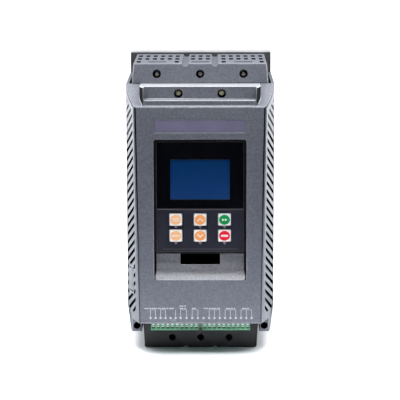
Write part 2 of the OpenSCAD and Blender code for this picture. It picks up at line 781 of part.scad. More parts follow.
// Cross-slotted terminal screws with their heads in front of the bars.
module bar_screws(pitch, y, z) color("#c9ccd0") in_frame()
    for (x = [-pitch, 0, pitch]) {
        difference() {
            bore(1.75 * m6, 4, x, y - 4, z);
            for (a = [0, 90]) translate([x, y - 4 - eps, z]) rotate([0, a, 0])
                slab(0.9 * m6, 2.2 * eps, 1.2, 0, -0.6);
        }
        bore(m6, bar_t + 10, x, y, z);
    }

module input_screws() bar_screws(input_pitch, input_bar_y, input_z);
module output_screws() bar_screws(output_pitch, bar_y, output_z);

module board_holes(dia) for (x = [-post_x, post_x], z = post_zs) bore(dia, 3 * board_t, x, board_y - board_t, z);

module control_board() color("#1f5a3c") in_frame() difference() {
    union() {
        slab(board_w, board_t, board_top - board_foot, board_y, board_foot);
        slab(blocks_w, board_t, board_top - terminal_z, board_y, terminal_z);
    }
    board_holes(m3 + fit_gap);
}

module board_standoffs() color("#d8d2c0") in_frame()
    for (x = [-post_x, post_x], z = post_zs) difference() {
        bore(7, screen_wall_y - board_y - board_t, x, board_y + board_t, z);
        bore(m3 + 2 * screw_gap, 8, x, board_y, z);
    }

module board_screws() color("#c3c6c9") in_frame()
    for (x = [-post_x, post_x], z = post_zs) {
        bore(1.9 * m3, 2, x, board_y - 2, z);
        bore(m3, board_t + 6, x, board_y, z);
    }

// Plug-in screw terminal with sunk screws above and square wire entries below.
module terminal_block(x) color("#3c8c5f") in_frame() difference() {
    slab(block_w, board_y - terminal_y, terminal_h, terminal_y, terminal_z, x);
    slab(block_w + eps, 3, 4, terminal_y - eps, terminal_z + terminal_h - 3.4, x);
    for (i = [0 : poles - 1]) {
        px = x + (i - (poles - 1) / 2) * pole_pitch;
        bore(3.5, 7, px, terminal_y - eps, terminal_z + screw_rise);
        slab(3.2, 8, 2.8, terminal_y - eps, terminal_z + screw_rise - 5.2, px);
    }
    for (i = [1 : poles - 1])
        slab(0.6, 1.6, terminal_h, terminal_y - eps, terminal_z - eps, x + (i - poles / 2) * pole_pitch);
}

module terminal_left() terminal_block(-block_x);
module terminal_right() terminal_block(block_x);

module terminal_screws() color("#d2d4d6") in_frame()
    for (x = [-block_x, block_x], i = [0 : poles - 1]) {
        px = x + (i - (poles - 1) / 2) * pole_pitch;
        difference() {
            bore(3.1, 5.3, px, terminal_y + 0.7, terminal_z + screw_rise);
            slab(4, 0.9, 0.7, terminal_y + 0.5, terminal_z + screw_rise - 0.35, px);
        }
    }

module keypad_socket() color("#25272b") in_frame() difference() {
    slab(socket_w, board_y - socket_y, socket_h, socket_y, socket_z);
    slab(plug_w + 4 * fit_gap, 8, plug_h + 4 * fit_gap, socket_y - eps,
        socket_z + (socket_h - plug_h) / 2 - 2 * fit_gap);
}

module supply_transformer() color("#34383f") in_frame() {
    z = board_top - 62;
    slab(46, board_y - socket_y - 3, 38, socket_y + 3, z);
    slab(34, 4, 30, socket_y, z + 4);
}

module signal_relays() color("#2f5e9a") in_frame()
    for (x = [-36, -18, 0]) slab(15.5, 12, 20, board_y - 12, cover_bottom_z + 16, x);

module keypad_case() color("#17181c") in_frame() difference() {
    back = keypad_inset + keypad_d;
    step = fascia_y + fascia_t;
    tile(keypad_w, keypad_h, keypad_r, keypad_d, keypad_inset, keypad_z);
    slab(keypad_w - 2 * keypad_rim, step - keypad_inset + eps, keypad_h - 2 * keypad_rim, keypad_inset - eps,
        keypad_z + keypad_rim);
    slab(keypad_w - 2 * keypad_rim - 4, back - case_wall - step + eps, keypad_h - 2 * keypad_rim - 4,
        step - eps, keypad_z + keypad_rim + 2);
    slab(plug_w + 2 * fit_gap, 3 * case_wall, plug_h + 2 * fit_gap, back - 2 * case_wall,
        socket_z + (socket_h - plug_h) / 2 - fit_gap);
}

module keypad_window() color("#0b0c10") in_frame() difference() {
    foot = split_z + fascia_gap / 2;
    slab(fascia_w, fascia_t, keypad_top - keypad_rim - fascia_gap - foot, fascia_y, foot);
    slab(screen_w, 3 * fascia_t, screen_h, fascia_y - fascia_t, screen_z);
}

module lcd_module() color("#0f3f78") in_frame() {
    slab(screen_w - 2 * fascia_gap, fascia_t, screen_h - 2 * fascia_gap, fascia_y + 0.5, screen_z + fascia_gap);
    slab(screen_w + 16, key_board_y - fascia_y - fascia_t, screen_h + 13, fascia_y + fascia_t,
        screen_z - 6);
}

module key_spots() for (i = [-1 : 1], z = key_rows) translate([i * key_pitch_x, 0, z]) children();

module key_panel() color("#23252f") in_frame() difference() {
    foot = keypad_z + keypad_rim + fascia_gap;
    slab(fascia_w, fascia_t, split_z - fascia_gap / 2 - foot, fascia_y, foot);
    key_spots() tile(key_w + 2 * key_gap, key_h + 2 * key_gap, 1.2, 3 * fascia_t, 0, -key_h / 2 - key_gap);
}

module keypad_board() color("#1f5a3c") in_frame()
    slab(fascia_w - 6, board_t, keypad_h - 12, key_board_y, keypad_z + 6);

module key_switches() color("#1c1c1e") in_frame() key_spots() {
    slab(6, switch_h, 6, key_board_y - switch_h, -3);
    bore(3.4, plunger, 0, key_board_y - switch_h - plunger, 0);
}

module keypad_plug() color("#25272b") in_frame() {
    front = key_board_y + board_t;
    slab(plug_w, socket_y + 6 - front, plug_h, front, socket_z + (socket_h - plug_h) / 2);
}

// A key cap with a flange behind the panel and a stem over its switch.
module key(column, row) color("#e8e8e6") in_frame()
    translate([column * key_pitch_x, 0, key_rows[row]]) {
        flange_y = fascia_y + fascia_t + fit_gap;
        tile(key_w, key_h, 1, flange_y - key_face + 0.4, key_face, -key_h / 2);
        slab(key_w + 1.6, 1, key_h + 1.6, flange_y, -key_h / 2 - 0.8);
        bore(5, key_back - flange_y, 0, flange_y, 0);
    }

module key_menu() key(-1, 0);
module key_up() key(0, 0);
module key_run() key(1, 0);
module key_enter() key(-1, 1);
module key_down() key(0, 1);
module key_stop() key(1, 1);

mounting_tray();
heat_sink();
sink_screws();
rear_housing();
front_cover();
input_cover();
output_cover();
name_plate();
port_cover();
cover_screws();
control_board();
board_standoffs();
board_screws();
terminal_left();
terminal_right();
terminal_screws();
keypad_socket();
supply_transformer();
signal_relays();
thyristor_left();
thyristor_middle();
thyristor_right();
module_screws();
input_bar_left();
input_bar_middle();
input_bar_right();
output_bar_left();
output_bar_middle();
output_bar_right();
sensor_left();
sensor_middle();
sensor_right();
bypass_contactor();
input_base();
output_base();
input_screws();
output_screws();
keypad_case();
keypad_window();
lcd_module();
key_panel();
keypad_board();
key_switches();
keypad_plug();
key_menu();
key_up();
key_run();
key_enter();
key_down();
key_stop();
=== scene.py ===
"""Looks of the soft starter: finishes, rounded skins over the solids, printed marks, lights and camera.

Lengths are in millimetres where they are multiplied by MM, and in metres elsewhere.
"""

import json
import math

import bmesh
import bpy
from mathutils import Matrix, Vector

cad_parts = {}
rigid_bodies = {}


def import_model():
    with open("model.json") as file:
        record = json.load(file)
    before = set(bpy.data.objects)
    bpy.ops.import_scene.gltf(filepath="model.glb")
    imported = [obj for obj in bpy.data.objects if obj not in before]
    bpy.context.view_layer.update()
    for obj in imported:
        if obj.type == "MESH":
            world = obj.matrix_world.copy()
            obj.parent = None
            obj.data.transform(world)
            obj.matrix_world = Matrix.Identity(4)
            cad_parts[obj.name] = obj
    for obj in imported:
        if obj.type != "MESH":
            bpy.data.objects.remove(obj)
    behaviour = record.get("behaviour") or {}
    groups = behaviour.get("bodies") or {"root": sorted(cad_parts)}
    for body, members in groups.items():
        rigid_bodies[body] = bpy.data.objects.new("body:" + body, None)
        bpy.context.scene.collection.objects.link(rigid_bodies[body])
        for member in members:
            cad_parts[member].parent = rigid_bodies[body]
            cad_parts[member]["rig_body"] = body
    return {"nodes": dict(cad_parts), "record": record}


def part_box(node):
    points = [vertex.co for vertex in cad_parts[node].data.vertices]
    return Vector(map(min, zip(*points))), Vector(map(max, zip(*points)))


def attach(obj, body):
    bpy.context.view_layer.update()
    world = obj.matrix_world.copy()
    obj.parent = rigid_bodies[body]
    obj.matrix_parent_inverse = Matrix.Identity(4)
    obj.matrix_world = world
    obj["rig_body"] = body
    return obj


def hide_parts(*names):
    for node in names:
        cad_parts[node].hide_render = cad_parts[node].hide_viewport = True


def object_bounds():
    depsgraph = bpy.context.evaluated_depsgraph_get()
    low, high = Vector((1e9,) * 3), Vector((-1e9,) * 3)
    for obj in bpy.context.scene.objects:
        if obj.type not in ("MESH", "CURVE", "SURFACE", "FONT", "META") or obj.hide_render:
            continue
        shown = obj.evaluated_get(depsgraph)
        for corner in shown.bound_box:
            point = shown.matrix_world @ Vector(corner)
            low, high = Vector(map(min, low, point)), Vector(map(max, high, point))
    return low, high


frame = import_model()
cad_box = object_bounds()
nodes = frame["nodes"]
MM = 0.001
FRONT = cad_box[0][1]
PRINT = 0.06       # thickness of a printed mark
PRINT_ROOM = 0.08  # how far the front face is sunk for its print
WALL = 2.5         # wall of the front cover
TINY = 0.01        # slack for points in one plane
SHARP = 32         # turn in degrees from which an edge is rounded


# Finishes

def finish(name, rough=0.5, metal=0.0, **sockets):
    """A new material, its node tree and its Principled shader, with the constant sockets set."""
    mat = bpy.data.materials.new(name)
    mat.use_nodes = True
    tree = mat.node_tree
    shader = tree.nodes["Principled BSDF"]
    shader.inputs["Roughness"].default_value = rough
    shader.inputs["Metallic"].default_value = metal
    for socket, value in sockets.items():
        shader.inputs[socket.replace("_", " ")].default_value = value
    return mat, tree, shader


def place(tree, scale=(1, 1, 1), turn=(0, 0, 0), at=(0, 0, 0)):
    """Object coordinates through a Mapping node, so that scale 1 is one pattern unit per millimetre."""
    coords = tree.nodes.new("ShaderNodeTexCoord")
    mapping = tree.nodes.new("ShaderNodeMapping")
    mapping.inputs["Location"].default_value = at
    mapping.inputs["Rotation"].default_value = turn
    mapping.inputs["Scale"].default_value = [1000 * s for s in scale]
    tree.links.new(coords.outputs["Object"], mapping.inputs["Vector"])
    return mapping.outputs["Vector"]


def noise(tree, scale, detail=3.0, rough=0.55, where=None):
    """A noise value with the given number of lumps per millimetre."""
    node = tree.nodes.new("ShaderNodeTexNoise")
    node.inputs["Scale"].default_value = scale
    node.inputs["Detail"].default_value = detail
    node.inputs["Roughness"].default_value = rough
    tree.links.new(where or place(tree), node.inputs["Vector"])
    return node.outputs["Fac"]


def ramp(tree, value, *stops):
    """A colour ramp over a value; each stop is (position, colour)."""
    node = tree.nodes.new("ShaderNodeValToRGB")
    band = node.color_ramp
    while len(band.elements) < len(stops):
        band.elements.new(0.5)
    for element, (position, colour) in zip(band.elements, stops):
        element.position = position
        element.color = (*colour, 1)
    tree.links.new(value, node.inputs["Fac"])
    return node.outputs["Color"]


def grey(level):
    """A neutral colour."""
    return (level, level, level)


def spread(tree, value, low, high, start=0.0, end=1.0):
    """A value mapped from start..end to low..high."""
    node = tree.nodes.new("ShaderNodeMapRange")
    for socket, number in (("From Min", start), ("From Max", end), ("To Min", low), ("To Max", high)):
        node.inputs[socket].default_value = number
    tree.links.new(value, node.inputs["Value"])
    return node.outputs["Result"]


def height(tree, where):
    """Height above the feet in millimetres."""
    split = tree.nodes.new("ShaderNodeSeparateXYZ")
    tree.links.new(where, split.inputs["Vector"])
    return split.outputs["Z"]


def mixed(tree, factor, first, second, blend="MIX"):
    """Two colours mixed by a factor; each may be a socket or a constant."""
    node = tree.nodes.new("ShaderNodeMix")
    node.data_type = "RGBA"
    node.blend_type = blend
    for socket, value in ((node.inputs[0], factor), (node.inputs[6], first), (node.inputs[7], second)):
        if isinstance(value, bpy.types.NodeSocket):
            tree.links.new(value, socket)
        elif isinstance(value, (int, float)):
            socket.default_value = value
        else:
            socket.default_value = (*value, 1)
    return node.outputs[2]


def bump(tree, shader, relief, depth, strength=1.0):
    """Bump of the given depth in millimetres."""
    node = tree.nodes.new("ShaderNodeBump")
    node.inputs["Strength"].default_value = strength
    node.inputs["Distance"].default_value = depth * MM
    tree.links.new(relief, node.inputs["Height"])
    tree.links.new(node.outputs["Normal"], shader.inputs["Normal"])


def edge_mark(tree):
    """The attribute that the skins carry on their rounded edges."""
    node = tree.nodes.new("ShaderNodeAttribute")
    node.attribute_name = "edge"
    return node.outputs["Fac"]


def moulded(name, dark, light, rough=(0.42, 0.56), grain=1.6, depth=0.05, edge_wear_and_highlight=None, speckle=0.07,
            gloss=0.5):
    """Moulded plastic with a spark-eroded grain, fine speckle, slow mottling and lighter rounded edges,
    partly wear and partly painted highlight.
    """
    mat, tree, shader = finish(name, Specular_IOR_Level=gloss)
    where = place(tree)
    fine = noise(tree, grain, 2.0, 0.6, where)
    grit = noise(tree, 0.55, 1.0, 0.5, where)
    slow = noise(tree, 0.045, 3.0, 0.5, where)
    body = ramp(tree, fine, (0.30, dark), (0.70, light))
    flecks = ramp(tree, grit, (0.40, grey(1 - speckle)), (0.60, grey(1.0)))
    shade = ramp(tree, slow, (0.30, grey(0.93)), (0.72, grey(1.0)))
    colour = mixed(tree, 1.0, mixed(tree, 1.0, body, flecks, "MULTIPLY"), shade, "MULTIPLY")
    if edge_wear_and_highlight:
        # lighter rounded edges: partly wear, partly painted highlight
        wear_and_highlight_mix = tree.nodes.new("ShaderNodeMath")
        wear_and_highlight_mix.operation = "MULTIPLY"
        tree.links.new(edge_mark(tree), wear_and_highlight_mix.inputs[0])
        patches = noise(tree, 0.35, 4.0, 0.6, where)
        tree.links.new(spread(tree, patches, 0.35, 1.0, 0.35, 0.65), wear_and_highlight_mix.inputs[1])
        colour = mixed(tree, wear_and_highlight_mix.outputs[0], colour, edge_wear_and_highlight)
    tree.links.new(colour, shader.inputs["Base Color"])
    tree.links.new(spread(tree, fine, *rough, 0.3, 0.7), shader.inputs["Roughness"])
    bump(tree, shader, fine, depth, 0.6)
    return mat


def shadowed(name, deep, shallow, foot, top):
    """Painted shade inside a groove: dark at its deep top and lighter towards its shallow foot."""
    mat, tree, shader = finish(name, Specular_IOR_Level=0.0)
    where = place(tree)
    climb = spread(tree, height(tree, where), 0.0, 1.0, foot, top)
    fine = noise(tree, 1.6, 2.0, 0.6, where)
    tone = ramp(tree, climb, (0.0, shallow), (0.55, deep))
    flecks = ramp(tree, fine, (0.30, grey(0.85)), (0.70, grey(1.0)))
    tree.links.new(mixed(tree, 1.0, tone, flecks, "MULTIPLY"), shader.inputs["Base Color"])
    tree.links.new(spread(tree, fine, 0.55, 0.7, 0.3, 0.7), shader.inputs["Roughness"])
    bump(tree, shader, fine, 0.04, 0.5)
    return mat


def painted_metal(name, dark, light, rough=(0.32, 0.46)):
    """Powder coat with an orange-peel skin."""
    mat, tree, shader = finish(name)
    where = place(tree)
    peel = noise(tree, 0.9, 2.0, 0.45, where)
    dust = noise(tree, 0.05, 4.0, 0.6, where)
    tree.links.new(ramp(tree, dust, (0.32, dark), (0.70, light)), shader.inputs["Base Color"])
    tree.links.new(spread(tree, dust, *rough, 0.3, 0.7), shader.inputs["Roughness"])
    bump(tree, shader, peel, 0.06, 0.5)
    return mat


def bare_metal(name, dark, light, rough=(0.24, 0.42), along=(1.0, 1.0, 1.0), metal=1.0):
    """Metal with fine drawn or turned marks and a patchy film; a dull plating is less metallic."""
    mat, tree, shader = finish(name, metal=metal)
    marks = noise(tree, 1.4, 4.0, 0.6, place(tree, along))
    film = noise(tree, 0.18, 3.0, 0.55)
    tree.links.new(ramp(tree, film, (0.32, dark), (0.70, light)), shader.inputs["Base Color"])
    tree.links.new(spread(tree, marks, *rough, 0.3, 0.7), shader.inputs["Roughness"])
    bump(tree, shader, marks, 0.015, 0.4)
    return mat


def film_sheet(name, dark, light, rough=(0.30, 0.42), depth=0.01):
    """Printed film with a faint matt texture."""
    mat, tree, shader = finish(name, Specular_IOR_Level=0.3)
    where = place(tree)
    slow = noise(tree, 0.06, 3.0, 0.5, where)
    fine = noise(tree, 3.0, 2.0, 0.5, where)
    tree.links.new(ramp(tree, slow, (0.30, dark), (0.70, light)), shader.inputs["Base Color"])
    tree.links.new(spread(tree, fine, *rough, 0.3, 0.7), shader.inputs["Roughness"])
    bump(tree, shader, fine, depth, 0.5)
    return mat


def ink(name, thin, full, rough=(0.5, 0.62)):
    """Screen print, a little thinner in places."""
    mat, tree, shader = finish(name, Specular_IOR_Level=0.25)
    cover = noise(tree, 2.2, 3.0, 0.6)
    tree.links.new(ramp(tree, cover, (0.28, thin), (0.46, full)), shader.inputs["Base Color"])
    tree.links.new(spread(tree, cover, *rough, 0.3, 0.7), shader.inputs["Roughness"])
    bump(tree, shader, cover, 0.006, 0.4)
    return mat


def dark_glass(name):
    """Smoked acrylic window with faint smears and a little dust."""
    mat, tree, shader = finish(name, Specular_IOR_Level=0.35)
    where = place(tree)
    dust = noise(tree, 1.1, 2.0, 0.5, where)
    smear = noise(tree, 0.05, 4.0, 0.6, place(tree, (1.0, 1.0, 0.35), (0, 0.5, 0)))
    tree.links.new(ramp(tree, dust, (0.72, (0.0016, 0.0018, 0.0030)), (0.86, (0.028, 0.030, 0.034))),
                   shader.inputs["Base Color"])
    tree.links.new(spread(tree, smear, 0.10, 0.22, 0.35, 0.7), shader.inputs["Roughness"])
    bump(tree, shader, smear, 0.01, 0.2)
    return mat


def blue_screen(name, foot, top):
    """Blank display behind its film: fine dot rows and a slow brightening towards the lower edge."""
    mat, tree, shader = finish(name, Specular_IOR_Level=0.12)
    where = place(tree)
    rows = tree.nodes.new("ShaderNodeTexWave")
    rows.bands_direction = "Z"
    rows.inputs["Scale"].default_value = 0.75
    rows.inputs["Distortion"].default_value = 0.0
    tree.links.new(where, rows.inputs["Vector"])
    climb = spread(tree, height(tree, where), 0.0, 1.0, foot, top)
    haze = noise(tree, 0.03, 2.0, 0.5, where)
    glow = ramp(tree, climb, (0.15, (0.0052, 0.034, 0.128)), (0.75, (0.0004, 0.024, 0.094)))
    glow = mixed(tree, spread(tree, rows.outputs["Fac"], 0.0, 0.12), glow, (0.0004, 0.016, 0.066))
    tree.links.new(glow, shader.inputs["Base Color"])
    tree.links.new(spread(tree, haze, 0.34, 0.46, 0.3, 0.7), shader.inputs["Roughness"])
    bump(tree, shader, rows.outputs["Fac"], 0.004, 0.2)
    return mat


def etched_board(name):
    """Solder mask over copper tracks, with small bright pads."""
    mat, tree, shader = finish(name, Coat_Weight=0.3)
    where = place(tree)
    tracks = tree.nodes.new("ShaderNodeTexBrick")
    layout = {"Scale": 0.22, "Mortar Size": 0.05, "Brick Width": 0.9, "Row Height": 0.32}
    for socket, value in layout.items():
        tracks.inputs[socket].default_value = value
    tracks.inputs["Color1"].default_value = (0.006, 0.055, 0.024, 1)
    tracks.inputs["Color2"].default_value = (0.009, 0.075, 0.033, 1)
    tracks.inputs["Mortar"].default_value = (0.022, 0.15, 0.06, 1)
    tree.links.new(place(tree, turn=(math.pi / 2, 0, 0)), tracks.inputs["Vector"])
    pads = tree.nodes.new("ShaderNodeTexVoronoi")
    pads.inputs["Scale"].default_value = 0.3
    tree.links.new(where, pads.inputs["Vector"])
    on_pad = spread(tree, pads.outputs["Distance"], 1.0, 0.0, 0.10, 0.13)
    colour = mixed(tree, on_pad, tracks.outputs["Color"], (0.62, 0.60, 0.55))
    tree.links.new(colour, shader.inputs["Base Color"])
    sheen = noise(tree, 0.4, 2.0, 0.5, where)
    tree.links.new(spread(tree, sheen, 0.25, 0.45), shader.inputs["Roughness"])
    bump(tree, shader, tracks.outputs["Fac"], 0.03, 0.5)
    return mat


cover_low, cover_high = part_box("front_cover")
screen_low, screen_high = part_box("lcd_module")

GREY = moulded("grey_plastic", (0.104, 0.111, 0.135), (0.136, 0.145, 0.176), edge_wear_and_highlight=(0.25, 0.26, 0.29),
               gloss=0.3, speckle=0.22)
# painted highlight: a lighter copy of the grey plastic for the finger ramp
PAINTED_LIT_GREY = moulded("painted_lit_grey", (0.190, 0.195, 0.217), (0.245, 0.250, 0.278), edge_wear_and_highlight=(0.42, 0.43, 0.45),
                 gloss=0.4, speckle=0.22)
# painted highlight: a lighter copy of the grey plastic for the boss top and its rounded edges
BOSS_HIGHLIGHT = moulded("boss_edge_painted_highlight", (0.215, 0.220, 0.243), (0.275, 0.280, 0.308),
                 edge_wear_and_highlight=(0.46, 0.47, 0.49), gloss=0.4)
# painted shade: the sides of the boss
SHADE = moulded("boss_side_painted_shade", (0.012, 0.013, 0.016), (0.018, 0.019, 0.023), rough=(0.7, 0.85),
                gloss=0.0)
# painted shade: the inside of the grey mouldings and the walls of their openings
INSIDE_SHADE = moulded("painted_shade_inside", (0.0022, 0.0023, 0.0028), (0.0036, 0.0038, 0.0045), rough=(0.6, 0.75),
                 gloss=0.0)
# painted shade in the shadow grooves, on the lip and on the rounded outline beside them
GROOVE = shadowed("groove_shadow", (0.0030, 0.0032, 0.0040), (0.072, 0.076, 0.092), cover_low.z / MM,
                  cover_high.z / MM)
BLACK = moulded("black_plastic", (0.0065, 0.0072, 0.0095), (0.0105, 0.0115, 0.0150), rough=(0.40, 0.55),
                edge_wear_and_highlight=(0.030, 0.032, 0.037), gloss=0.35)
INNER = moulded("inner_black", (0.0045, 0.0047, 0.0055), (0.0080, 0.0083, 0.0092), rough=(0.45, 0.6),
                gloss=0.1)
CASE = moulded("keypad_black", (0.0014, 0.0015, 0.0020), (0.0026, 0.0028, 0.0036), rough=(0.40, 0.52),
               grain=2.4, depth=0.02, edge_wear_and_highlight=(0.022, 0.022, 0.025), gloss=0.22)
GREEN = moulded("green_plastic", (0.066, 0.285, 0.140), (0.095, 0.360, 0.188), rough=(0.32, 0.45),
                grain=2.0, depth=0.02, edge_wear_and_highlight=(0.16, 0.42, 0.25))
BLUE = moulded("blue_plastic", (0.016, 0.065, 0.20), (0.026, 0.095, 0.27), rough=(0.3, 0.42), grain=2.0,
               depth=0.02)
NYLON = moulded("nylon", (0.56, 0.52, 0.42), (0.68, 0.64, 0.53), rough=(0.4, 0.5), grain=1.2, depth=0.02)
KEY = moulded("key_white", (0.90, 0.90, 0.90), (0.95, 0.95, 0.95), rough=(0.34, 0.46), grain=2.4,
              depth=0.015, speckle=0.03)
TRAY = painted_metal("dark_steel", (0.036, 0.036, 0.038), (0.050, 0.050, 0.052))
# painted highlight: a lighter copy of the tray paint for the top of its flange
TRAY_TOP_HIGHLIGHT = painted_metal("tray_top_painted_highlight", (0.25, 0.25, 0.265), (0.31, 0.31, 0.325))
ALUMINIUM = bare_metal("aluminium", (0.66, 0.67, 0.69), (0.80, 0.81, 0.82), along=(1.0, 1.0, 0.06))
COPPER = bare_metal("dull_copper", (0.085, 0.042, 0.029), (0.14, 0.070, 0.047), along=(1.0, 1.0, 0.1))
ZINC = bare_metal("zinc_steel", (0.70, 0.71, 0.72), (0.86, 0.87, 0.88), rough=(0.3, 0.5))
# painted highlight: near-white screw heads that show as glints in the screwdriver holes
GLINT_HEAD = bare_metal("painted_glint_head", (0.92, 0.93, 0.94), (0.97, 0.97, 0.97), rough=(0.15, 0.25),
                    metal=0.05)
YELLOW = bare_metal("yellow_zinc", (0.84, 0.78, 0.44), (0.97, 0.94, 0.68), rough=(0.2, 0.35), metal=0.1)
BOARD = etched_board("circuit_board")
PLATE = film_sheet("plate_film", (0.122, 0.117, 0.182), (0.136, 0.131, 0.202))
GLASS = dark_glass("window_black")
SCREEN = blue_screen("screen_blue", screen_low.z / MM, screen_high.z / MM)
PANEL = film_sheet("panel_navy", (0.0085, 0.0092, 0.0180), (0.0110, 0.0118, 0.0225), rough=(0.42, 0.55))
WHITE_INK = ink("white_ink", (0.60, 0.60, 0.61), (0.84, 0.84, 0.85))
PALE_INK = ink("pale_ink", (0.26, 0.26, 0.28), (0.40, 0.40, 0.42))
GREY_INK = ink("grey_ink", (0.060, 0.053, 0.058), (0.085, 0.076, 0.082))
POINTER_INK = ink("pointer_ink", (0.16, 0.135, 0.145), (0.22, 0.19, 0.20))
ORANGE_INK = ink("orange_ink", (0.80, 0.30, 0.085), (0.86, 0.345, 0.105))
PEACH_INK = ink("peach_ink", (0.82, 0.43, 0.200), (0.88, 0.48, 0.235))
GREEN_INK = ink("green_ink", (0.000, 0.185, 0.040), (0.000, 0.225, 0.052))
RED_INK = ink("red_ink", (0.60, 0.004, 0.018), (0.68, 0.006, 0.025))

slot_finish = {"grey_plastic": GREY, "black_plastic": BLACK, "dark_steel": TRAY, "aluminium": ALUMINIUM,
               "copper": COPPER, "zinc_steel": ZINC, "yellow_zinc": YELLOW, "circuit_board": BOARD,
               "green_plastic": GREEN, "inner_black": INNER, "blue_plastic": BLUE, "nylon": NYLON,
               "plate_film": PLATE, "window_black": GLASS, "screen_blue": SCREEN, "panel_navy": PANEL,
               "key_white": KEY}


# Pieces

def piece(name, bm, materials, body):
    """Turns a finished bmesh into an object that rides on a body."""
    mesh = bpy.data.meshes.new(name)
    bm.to_mesh(mesh)
    bm.free()
    obj = bpy.data.objects.new(name, mesh)
    for material in materials:
        mesh.materials.append(material)
    bpy.context.scene.collection.objects.link(obj)
    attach(obj, body)
    return obj


def steady_normals(obj):
    """Keeps flat faces flat-shaded between rounded edges."""
    weigh = obj.modifiers.new("steady_normals", "WEIGHTED_NORMAL")
    weigh.mode = "FACE_AREA"
    weigh.weight = 60
    weigh.keep_sharp = True


def merged_copy(node, adjust=None):
    """A bmesh of a solid with its loose triangles merged into whole faces.

    adjust may move corners before that, and returns the edges that are left as they are.
    """
    bm = bmesh.new()
    bm.from_mesh(nodes[node].data)
    bmesh.ops.remove_doubles(bm, verts=bm.verts, dist=0.002 * MM)
    kept = adjust(bm) if adjust else set()
    bmesh.ops.dissolve_limit(bm, angle_limit=math.radians(0.6),
                             edges=[e for e in bm.edges if e not in kept],
                             verts=[v for v in bm.verts if kept.isdisjoint(v.link_edges)])
    return bm


def soften(bm, edges, width, steps=2):
    """Rounds edges, marks the new faces for the lighter edge finish, which is partly wear and partly
    painted highlight, and returns them.
    """
    mark = bm.faces.layers.float.get("edge") or bm.faces.layers.float.new("edge")
    made = bmesh.ops.bevel(bm, geom=edges, offset=width * MM, offset_type="OFFSET", affect="EDGES",
                           segments=steps, profile=0.5, material=-1, clamp_overlap=False)
    for face in made["faces"]:
        face[mark] = 1.0
    return made["faces"]


def sharp(edge, turn=SHARP):
    """Whether two faces meet at an edge with more than the given turn in degrees."""
    return edge.is_manifold and edge.calc_face_angle(0) > math.radians(turn)


def roomy_edges(bm, width):
    """Sharp edges of the main finish that are long enough for a rounding of the given width."""
    return [e for e in bm.edges if sharp(e) and e.calc_length() > 3 * width * MM
            and not any(f.material_index for f in e.link_faces)]


def keep_inside(bm, low, high):
    """Holds rounded corners inside the model's own box."""
    for vert in bm.verts:
        vert.co = [min(max(c, a), b) for c, a, b in zip(vert.co, low, high)]


def skin(node, slot, materials=None, width=0.3, shape=None, adjust=None):
    """A rounded copy of a solid that is shown in its place."""
    bm = merged_copy(node, adjust)
    if shape:
        shape(bm)
    soften(bm, roomy_edges(bm, width), width)
    keep_inside(bm, *cad_box)
    for face in bm.faces:
        face.smooth = True
    for edge in bm.edges:
        edge.smooth = not sharp(edge, 46)
    obj = piece(node + "_skin", bm, materials or [slot_finish[slot]], nodes[node]["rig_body"])
    steady_normals(obj)
    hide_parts(node)


# Carried-over solids

for entry in frame["record"]["subparts"]:
    solid = nodes[entry["node"]].data
    solid.materials.clear()
    solid.materials.append(slot_finish[entry["material_slot"]])


# Front cover

keypad_low, keypad_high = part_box("keypad_case")
FOOT_DROP = 1.8
FACE_HALF = 60
GROOVE_DEPTH = 9.5
LOUVRE_FOOT, LOUVRE_TOP, LOUVRE_GAIN = 44, 262, 0.3
BOSS_HALF, BOSS_FOOT, BOSS_PANEL = 65.5, 268, 19.6
COVER_SCREW_X, COVER_SCREW_ROOM = 22.6, 5
RECESS_DEPTH, RECESS_REACH = 9.2, 28
COVER_INSIDE_SHADE, COVER_GROOVE_SHADE, COVER_PAINTED_LIT, COVER_SHADE, COVER_BOSS_HIGHLIGHT = range(1, 6)


def right_half(face):
    """Middle and direction of a face, mirrored to the right half of the cover."""
    mid, aim = face.calc_center_median(), face.normal.copy()
    if mid.x < 0:
        mid.x, aim.x = -mid.x, -aim.x
    return mid, aim


def largest_flank_face(bm):
    """The biggest face of the right flank."""
    faces = [f for f in bm.faces if f.normal.x > 0.9 and f.normal.y < -0.1]
    return max(faces, key=lambda f: f.calc_area())


def in_flank_wall(sunk):
    """Whether a depth in millimetres under the flank lies inside the cover's wall."""
    return 0.04 < sunk < WALL - 0.02


def flare_flanks(bm):
    """Swings the flanks out towards their foot, so that their rear edge follows the housing down."""
    face_top, flare, rear_depth, foot, fade = 267.5, 3.3 / 228, 49.0, 37.0, 14.0
    for vert in bm.verts:
        deep = (vert.co.y - FRONT) / MM
        drop = face_top - vert.co.z / MM
        if abs(vert.co.x) > FACE_HALF * MM and drop > 0 and deep > 0:
            share = min(max((vert.co.z / MM - foot) / fade, 0.0), 1.0)
            vert.co.x += math.copysign(share * drop * flare * deep / rear_depth * MM, vert.co.x)


def move_walls(walls, gain):
    """Moves the walls of openings back by some millimetres, which makes the openings larger."""
    moves = {vert: face.normal * (gain * MM) for face in walls for vert in face.verts}
    for vert, move in moves.items():
        vert.co -= move


def widen_louvres(bm):
    """Moves the long walls of the louvre openings apart; returns the edges inside the flanks' two sides."""
    flank = largest_flank_face(bm)
    out, on_flank = flank.normal.copy(), flank.calc_center_median()
    walls, sides = [], set()
    for face in bm.faces:
        mid, aim = right_half(face)
        sunk = (on_flank - mid).dot(out) / MM
        behind_groove = (mid.y - FRONT) / MM > GROOVE_DEPTH
        among_louvres = LOUVRE_FOOT * MM < mid.z < LOUVRE_TOP * MM
        if abs(aim.dot(out)) > 0.99 and behind_groove:
            sides.add(face)
        elif in_flank_wall(sunk) and abs(aim.z) > 0.7 and behind_groove and among_louvres:
            walls.append(face)
    move_walls(walls, LOUVRE_GAIN)
    return {e for e in bm.edges if sides.issuperset(e.link_faces)}


